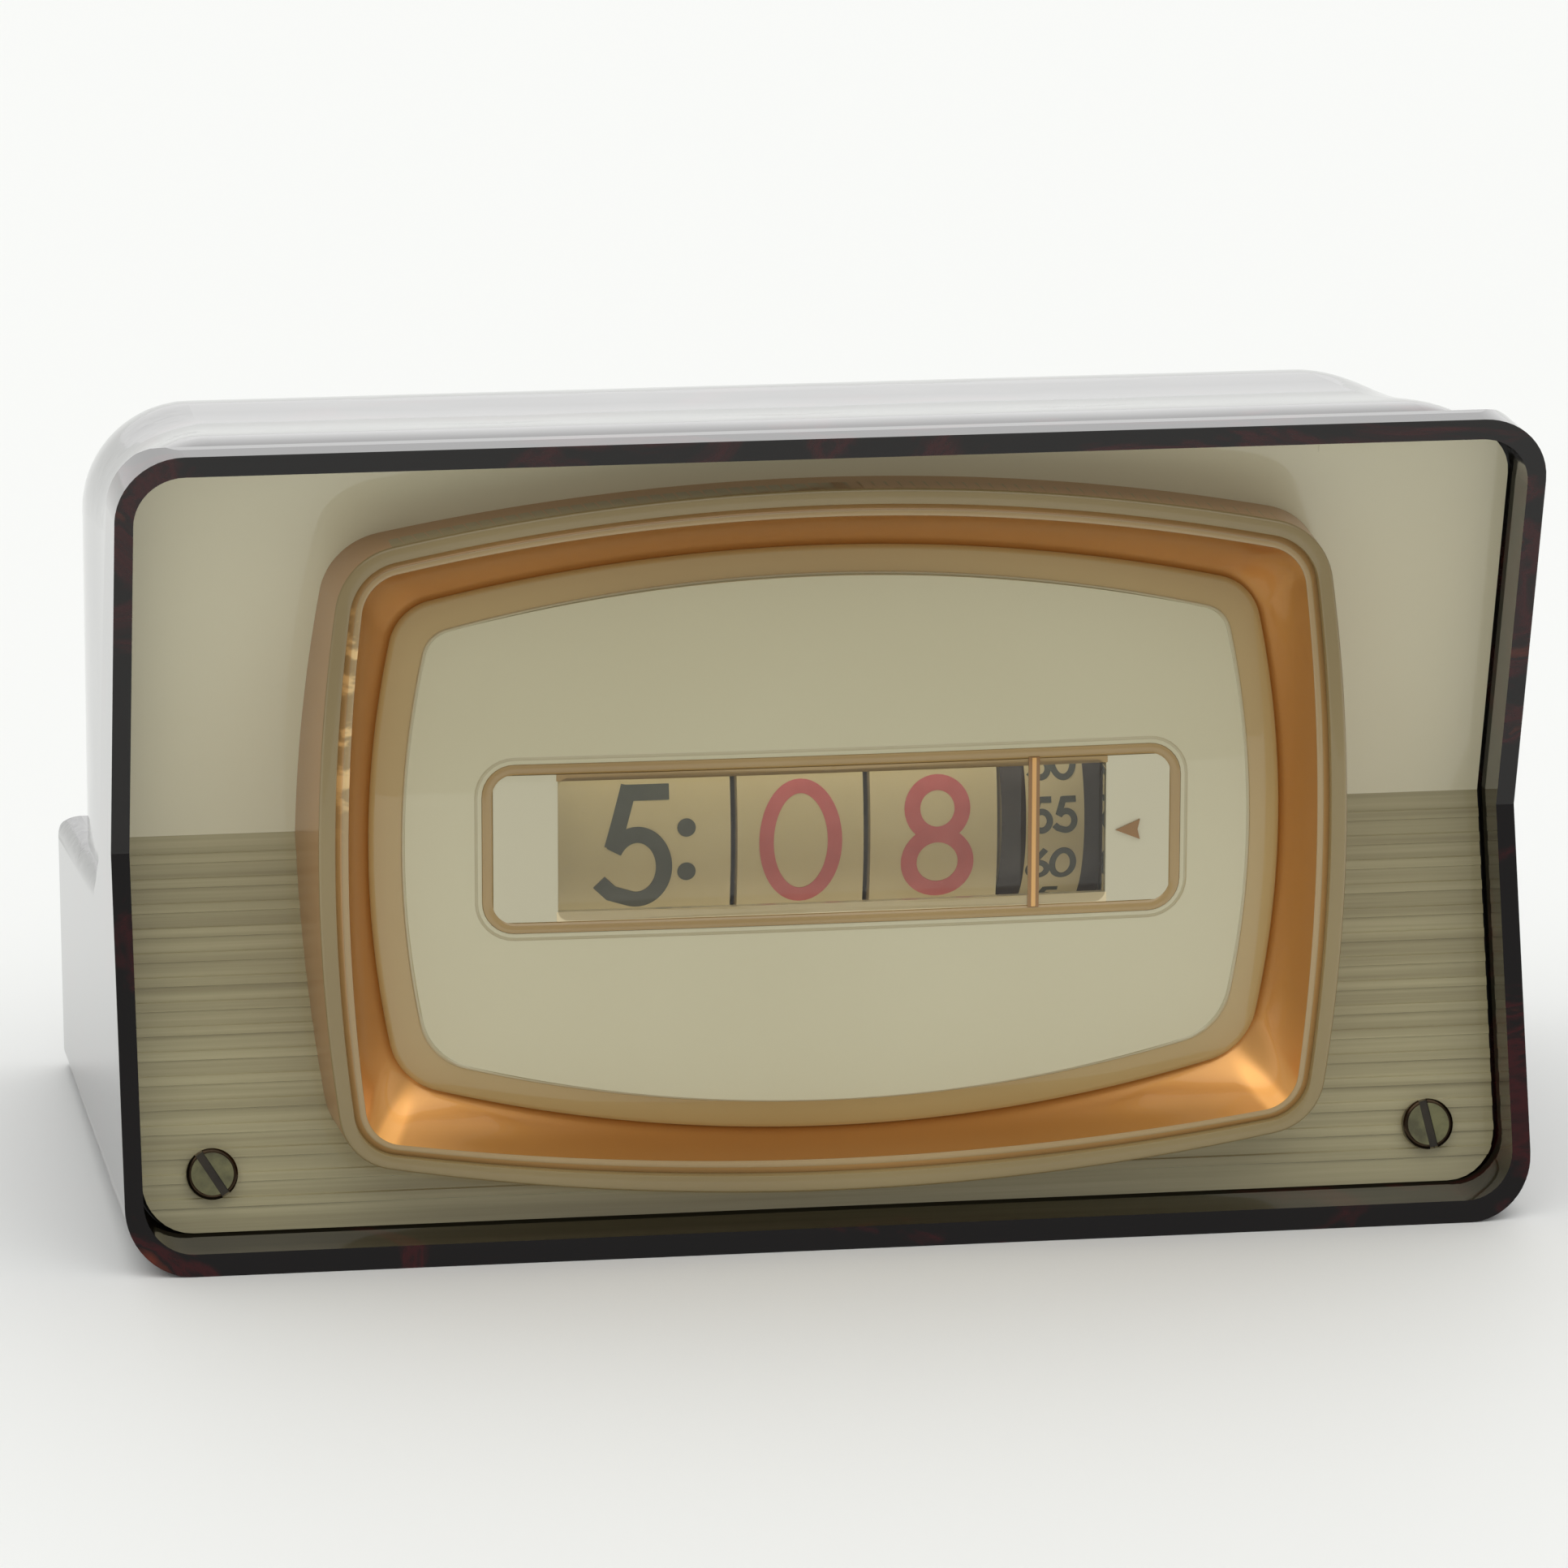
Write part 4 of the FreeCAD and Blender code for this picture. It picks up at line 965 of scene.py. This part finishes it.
inner_x0, inner_x1 = WIN_X0 + ZONE_INSET, WIN_X1 - ZONE_INSET
inner_z0, inner_z1 = WIN_Z0 + ZONE_INSET, WIN_Z1 - ZONE_INSET
lip_x0, lip_x1 = OPEN_X0 - LIP_OVER, OPEN_X1 + LIP_OVER
sill_top, lintel_low = OPEN_Z0 + SILL_HEIGHT, OPEN_Z1 - LINTEL_HEIGHT
zone, lip = (ZONE_LIFT, ZONE_THICK, ZONE), (LIP_LIFT, LIP_THICK)
plate("window_zone_left", inner_x0, OPEN_X0, inner_z0, inner_z1, *zone)
plate("window_zone_right", OPEN_X1, inner_x1, inner_z0, inner_z1, *zone)
plate("window_sill", lip_x0, lip_x1, inner_z0, sill_top, *lip, SILL, THIN_R)
# The lintel carries the frame's colour over the top of the opening: partly the frame line, partly painted
# shade under it.
plate("window_lintel_and_shade", lip_x0, lip_x1, lintel_low, inner_z1, *lip, WINDOW_EDGE, THIN_R)
# The bar's narrow middle strip is a painted highlight, lit by its own glow.
for name, half, past, lift, thick, mat in (
    ("window_bar", BAR_HALF, BAR_OVER, BAR_LIFT, BAR_THICK, BAR),
    ("window_bar_highlight_strip", HIGHLIGHT_HALF, HIGHLIGHT_OVER, HIGHLIGHT_LIFT, HIGHLIGHT_THICK, BAR_PAINTED_HIGHLIGHT),
):
    low, high = inner_z0 - past, inner_z1 + past
    plate(name, BAR_X - half, BAR_X + half, low, high, lift, thick, mat, THIN_R)


def pointer():
    """Small arrow head that points at the seconds."""
    tip, base, mid, half = 40.75, 44.25, 56.85, 1.45
    notch, lift, root = 0.35, 0.22, 0.2
    corners = [(tip, mid), (base, mid - half), (base - notch, mid), (base, mid + half)]
    verts = [at(x, dome(x, z) - lift, z) for x, z in corners]
    verts += [at(x, dome(x, z) + root, z) for x, z in corners]
    faces = [(0, 1, 2), (0, 2, 3), (4, 6, 5), (4, 7, 6)] + BLOCK_SIDES
    add("window_pointer", verts, faces, BAR, smooth=False)


pointer()


# ---------------------------------------------------------------- numerals
def arc_points(cx, cy, rx, ry, start, end, steps=22):
    """Points along part of an ellipse, from start to end in degrees."""
    return [
        (cx + rx * math.cos(math.radians(a)), cy + ry * math.sin(math.radians(a)))
        for a in (start + (end - start) * i / steps for i in range(steps + 1))
    ]


# Centre lines of the digits; each entry is (points, closed). Upright free ends run half a stroke past HALF.
HALF = 7.8
TIP = HALF + 1.1
CENTRE_LINES = {
    "0": [(arc_points(0, 0, 4.9, HALF + 0.15, 0, 360, 48)[:-1], True)],
    "1": [([(-2.8, 5.2), (0.4, HALF)], False), ([(0.4, TIP), (0.4, -TIP)], False)],
    "2": [(arc_points(0, 3.7, 4.2, 4.1, 165, -30) + [(-4.2, -HALF), (4.8, -HALF)], False)],
    "3": [
        (arc_points(0, 3.9, 3.7, 3.9, 150, -80), False),
        (arc_points(0, -3.6, 4.3, 4.2, 85, -155), False),
    ],
    "4": [([(2.4, -TIP), (2.4, HALF), (-4.9, -3.4), (5.2, -3.4)], False)],
    "5": [
        ([(-1.1, HALF), (5.3, HALF)], False),
        ([(-0.35, HALF + 1.0), (-2.9, -0.1)], False),
        (arc_points(0.65, -3.0, 3.85, 4.8, 150, -108, 34) + [(-3.0, -6.75), (-4.75, -5.0)], False),
    ],
    "6": [
        (arc_points(0, -3.4, 4.3, 4.4, 0, 360, 36)[:-1], True),
        ([(3.0, HALF + 0.8), (-1.6, 2.4), (-3.6, -0.8), (-4.3, -3.4)], False),
    ],
    "7": [([(-4.6, HALF), (4.6, HALF), (-1.4, -HALF - 1.0)], False)],
    "8": [
        (arc_points(0, 4.05, 3.6, 3.75, 0, 360, 36)[:-1], True),
        (arc_points(0, -3.75, 4.1, 4.05, 0, 360, 36)[:-1], True),
    ],
    "9": [
        (arc_points(0, 3.4, 4.3, 4.4, 0, 360, 36)[:-1], True),
        ([(-3.0, -HALF - 0.8), (1.6, -2.4), (3.6, 0.8), (4.3, 3.4)], False),
    ],
}
STROKE_STEP = 1.2
INK, INK_ROOT, LAYER_STEP, LAYERS = 0.07, -0.05, 0.008, 5  # heights over a drum's face
COLON_X, COLON_YS, COLON_R = 7.7, (2.6, -3.8), 1.32
PAIR_WIDTH = 0.62
PAIR_ADVANCE = 9.6 * PAIR_WIDTH
SMALL, SMALL_WIDTH = 0.285, 1.08
SMALL_ADVANCE = 12.4 * SMALL
SECONDS_START = math.radians(5)
RING_LIFT, RING_ROOT, RING_STEPS = 0.05, 0.2, 120
RING_LEFT_WIDTH, RING_RIGHT_WIDTH = 3.5, 2.8
MITRE_MOST, MITRE_COS, NO_LENGTH = 2.2, 0.3, 1e-9


def ribbon(points, closed, width, low, high):
    """A flat stroke as a closed prism in (x, y, height)."""
    count = len(points)
    left, right = [], []
    for i, (x, y) in enumerate(points):
        before = points[i - 1] if closed or i > 0 else points[i]
        after = points[(i + 1) % count] if closed or i < count - 1 else points[i]
        ax, ay = x - before[0], y - before[1]
        bx, by = after[0] - x, after[1] - y
        la, lb = math.hypot(ax, ay), math.hypot(bx, by)
        if la < NO_LENGTH:
            ax, ay, la = bx, by, lb
        if lb < NO_LENGTH:
            bx, by, lb = ax, ay, la
        ax, ay, bx, by = ax / la, ay / la, bx / lb, by / lb
        nx, ny = -(ay + by), ax + bx
        size = math.hypot(nx, ny) or 1
        nx, ny = nx / size, ny / size
        mitre = min(MITRE_MOST, 1 / max(MITRE_COS, nx * -ay + ny * ax))
        left.append((x + nx * width / 2 * mitre, y + ny * width / 2 * mitre))
        right.append((x - nx * width / 2 * mitre, y - ny * width / 2 * mitre))
    verts = []
    for (lx, ly), (rx, ry) in zip(left, right):
        verts += [(lx, ly, high), (rx, ry, high), (rx, ry, low), (lx, ly, low)]
    faces = []
    last = count if closed else count - 1
    for i in range(last):
        a, b = 4 * i, 4 * ((i + 1) % count)
        for k in range(4):
            m = (k + 1) % 4
            faces.append((a + k, b + k, b + m, a + m))
    if not closed:
        faces.append((0, 1, 2, 3))
        faces.append((4 * count - 1, 4 * count - 2, 4 * count - 3, 4 * count - 4))
    return verts, faces


def disc(cx, cy, r, low, high, steps=20):
    """A flat dot as a closed prism in (x, y, height)."""
    verts, faces = [], []
    for i in range(steps):
        a = 2 * math.pi * i / steps
        verts.append((cx + r * math.cos(a), cy + r * math.sin(a), high))
        verts.append((cx + r * math.cos(a), cy + r * math.sin(a), low))
    for i in range(steps):
        j = (i + 1) % steps
        faces.append((2 * i, 2 * i + 1, 2 * j + 1, 2 * j))
    faces.append(tuple(2 * i for i in range(steps)))
    faces.append(tuple(2 * i + 1 for i in reversed(range(steps))))
    return verts, faces


def densify(points, closed, step):
    """Adds points on long runs so that strokes follow the drum."""
    out = []
    count = len(points)
    for i in range(count if closed else count - 1):
        ax, ay = points[i]
        bx, by = points[(i + 1) % count]
        pieces = max(1, math.ceil(math.hypot(bx - ax, by - ay) / step))
        for k in range(pieces):
            out.append((ax + (bx - ax) * k / pieces, ay + (by - ay) * k / pieces))
    if not closed:
        out.append(points[-1])
    return out


DIGITS = {
    char: [(densify(points, closed, STROKE_STEP), closed) for points, closed in strokes]
    for char, strokes in CENTRE_LINES.items()
}


def flat_label(text, centre_x, size, width, stroke, advance):
    """Flat strokes of a number; size and width scale the digits, and advance is their pitch."""
    verts, faces = [], []
    layer = 0
    for index, char in enumerate(text):
        shift = centre_x + (index - (len(text) - 1) / 2) * advance
        for points, closed in DIGITS[char]:
            placed = [(shift + x * size * width, y * size) for x, y in points]
            top = INK + LAYER_STEP * (layer % LAYERS)
            join(verts, faces, *ribbon(placed, closed, stroke, INK_ROOT, top))
            layer += 1
    return verts, faces


def wrap(verts, radius, axis, angle):
    """Puts flat (x, y, height) points on a drum; angle 0 faces the front and grows upwards."""
    out = []
    for x, y, h in verts:
        a = angle + y / radius
        r = radius + h
        out.append(at(x, axis[0] - r * math.cos(a), axis[1] + r * math.sin(a)))
    return out


def drum_of(body):
    """Axis, as (depth, z), and radius of a drum."""
    low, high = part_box(body + "_drum")
    for joint in frame["record"]["behaviour"]["joints"]:
        if joint["child"] == body:
            axis = ((joint["pos_m"][1] - FRONT) / MM, joint["pos_m"][2] / MM)
            return axis, (high.z - low.z) / 2 / MM
    raise ValueError(body)


def numerals(
    body,
    texts,
    mat,
    middle,
    stroke,
    size=1.0,
    width=1.0,
    pair_width=PAIR_WIDTH,
    pair_advance=PAIR_ADVANCE,
    first=0.0,
    colon=False,
):
    """One label for each place of a drum; the first faces the window and the next come from above."""
    axis, radius = drum_of(body)
    verts, faces = [], []
    step = 2 * math.pi / len(texts)
    for index, text in enumerate(texts):
        digit_width = pair_width if len(text) > 1 else width
        flat, flat_faces = flat_label(text, middle, size, digit_width, stroke, pair_advance)
        if colon:
            for y in COLON_YS:
                join(flat, flat_faces, *disc(middle + COLON_X, y, COLON_R, INK_ROOT, INK))
        join(verts, faces, wrap(flat, radius, axis, first + step * index), flat_faces)
    add(body + "_numerals", verts, faces, mat, body, smooth=False)


hours_texts = ["5", "6", "7", "8", "9", "10", "11", "12", "1", "2", "3", "4"]
seconds_texts = ["55", "50", "45", "40", "35", "30", "25", "20", "15", "10", "5", "60"]
numerals("hours", hours_texts, DARK_INK, middle=-26.1, stroke=2.3, colon=True)
numerals("tens", list("012345") * 2, RED_INK, middle=-2.1, stroke=2.05)
numerals("minutes", list("8901234567"), RED_INK, middle=17.5, stroke=2.25)
numerals(
    "seconds",
    seconds_texts,
    DARK_INK,
    middle=34.0,
    stroke=0.9,
    size=SMALL,
    width=SMALL_WIDTH,
    pair_width=SMALL_WIDTH,
    pair_advance=SMALL_ADVANCE,
    first=SECONDS_START,
)


def seconds_ring(name, x0, x1):
    """Painted band round the seconds drum."""
    axis, radius = drum_of("seconds")
    outside, inside = radius + RING_LIFT, radius - RING_ROOT
    profile = [(x0, outside), (x1, outside), (x1, inside), (x0, inside)]
    verts = []
    for x, r in profile:
        for i in range(RING_STEPS):
            a = 2 * math.pi * i / RING_STEPS
            verts.append(at(x, axis[0] - r * math.cos(a), axis[1] + r * math.sin(a)))
    faces = tube_faces(len(profile), RING_STEPS)
    add(name, verts, faces, BLACK_RING, "seconds")


seconds_low, seconds_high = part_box("seconds_drum")
seconds_x0, seconds_x1 = seconds_low.x / MM, seconds_high.x / MM
seconds_ring("seconds_ring_left", seconds_x0, seconds_x0 + RING_LEFT_WIDTH)
seconds_ring("seconds_ring_right", seconds_x1 - RING_RIGHT_WIDTH, seconds_x1)


# ---------------------------------------------------------------- studio
FLOOR_HALF_WIDTH, FLOOR_AHEAD, FLOOR_REAR = 4, 0.27, 5  # metres
FRONT_STRENGTH, REAR_STRENGTH, TOP_STRENGTH = 0.38, 1.12, 1.4
REAR_START, REAR_END = -0.35, 0.1  # y of a direction
TOP_START, TOP_END = 0.5, 0.75  # z of a direction
STUDIO_TINT = (1.0, 1.0, 0.995, 1)
LIGHT_X, LIGHT_DEPTH, LIGHT_WIDTH, LIGHT_HEIGHT = -4.0, 15.0, 90, 9
LIGHT_COLOUR = (1.0, 0.97, 0.90)


def studio_floor():
    """Plain pale floor under the object."""
    mesh = bpy.data.meshes.new("studio_floor")
    x, front, z = FLOOR_HALF_WIDTH, FRONT - FLOOR_AHEAD, case_low.z
    corners = [(-x, front, z), (x, front, z), (x, FLOOR_REAR, z), (-x, FLOOR_REAR, z)]
    mesh.from_pydata(corners, [], [(0, 1, 2, 3)])
    mesh.materials.append(material("studio_white", (235, 236, 234), 0.6))
    obj = bpy.data.objects.new("studio_floor", mesh)
    bpy.context.collection.objects.link(obj)


def studio_world():
    """Pale surroundings that are brighter behind the object and overhead than in front of it."""
    world = bpy.data.worlds.new("studio")
    bpy.context.scene.world = world
    world.use_nodes = True
    tree = world.node_tree
    background = tree.nodes["Background"]
    where = tree.nodes.new("ShaderNodeTexCoord")
    split = tree.nodes.new("ShaderNodeSeparateXYZ")
    tree.links.new(where.outputs["Generated"], split.inputs["Vector"])
    y, z = split.outputs["Y"], split.outputs["Z"]
    rear = map_range(tree, y, REAR_START, REAR_END, FRONT_STRENGTH, REAR_STRENGTH, smooth=True)
    top = map_range(tree, z, TOP_START, TOP_END, 0.0, TOP_STRENGTH, smooth=True)
    brightest = tree.nodes.new("ShaderNodeMath")
    brightest.operation = "MAXIMUM"
    tree.links.new(rear, brightest.inputs[0])
    tree.links.new(top, brightest.inputs[1])
    tree.links.new(brightest.outputs["Value"], background.inputs["Strength"])
    background.inputs["Color"].default_value = STUDIO_TINT


def strip_light(name, z, tilt, watts):
    """Soft light between the screen and the drums, for the light that the thin dial lets through."""
    data = bpy.data.lights.new(name, "AREA")
    data.shape = "RECTANGLE"
    data.size = LIGHT_WIDTH * MM
    data.size_y = LIGHT_HEIGHT * MM
    data.energy = watts
    data.color = LIGHT_COLOUR
    obj = bpy.data.objects.new(name, data)
    bpy.context.collection.objects.link(obj)
    obj.location = at(LIGHT_X, LIGHT_DEPTH, z)
    obj.rotation_euler = (math.radians(tilt), 0, 0)


studio_floor()
studio_world()
strip_light("dial_light_top", z=78.0, tilt=50.0, watts=0.0053)
strip_light("dial_light_low", z=36.0, tilt=130.0, watts=0.0026)
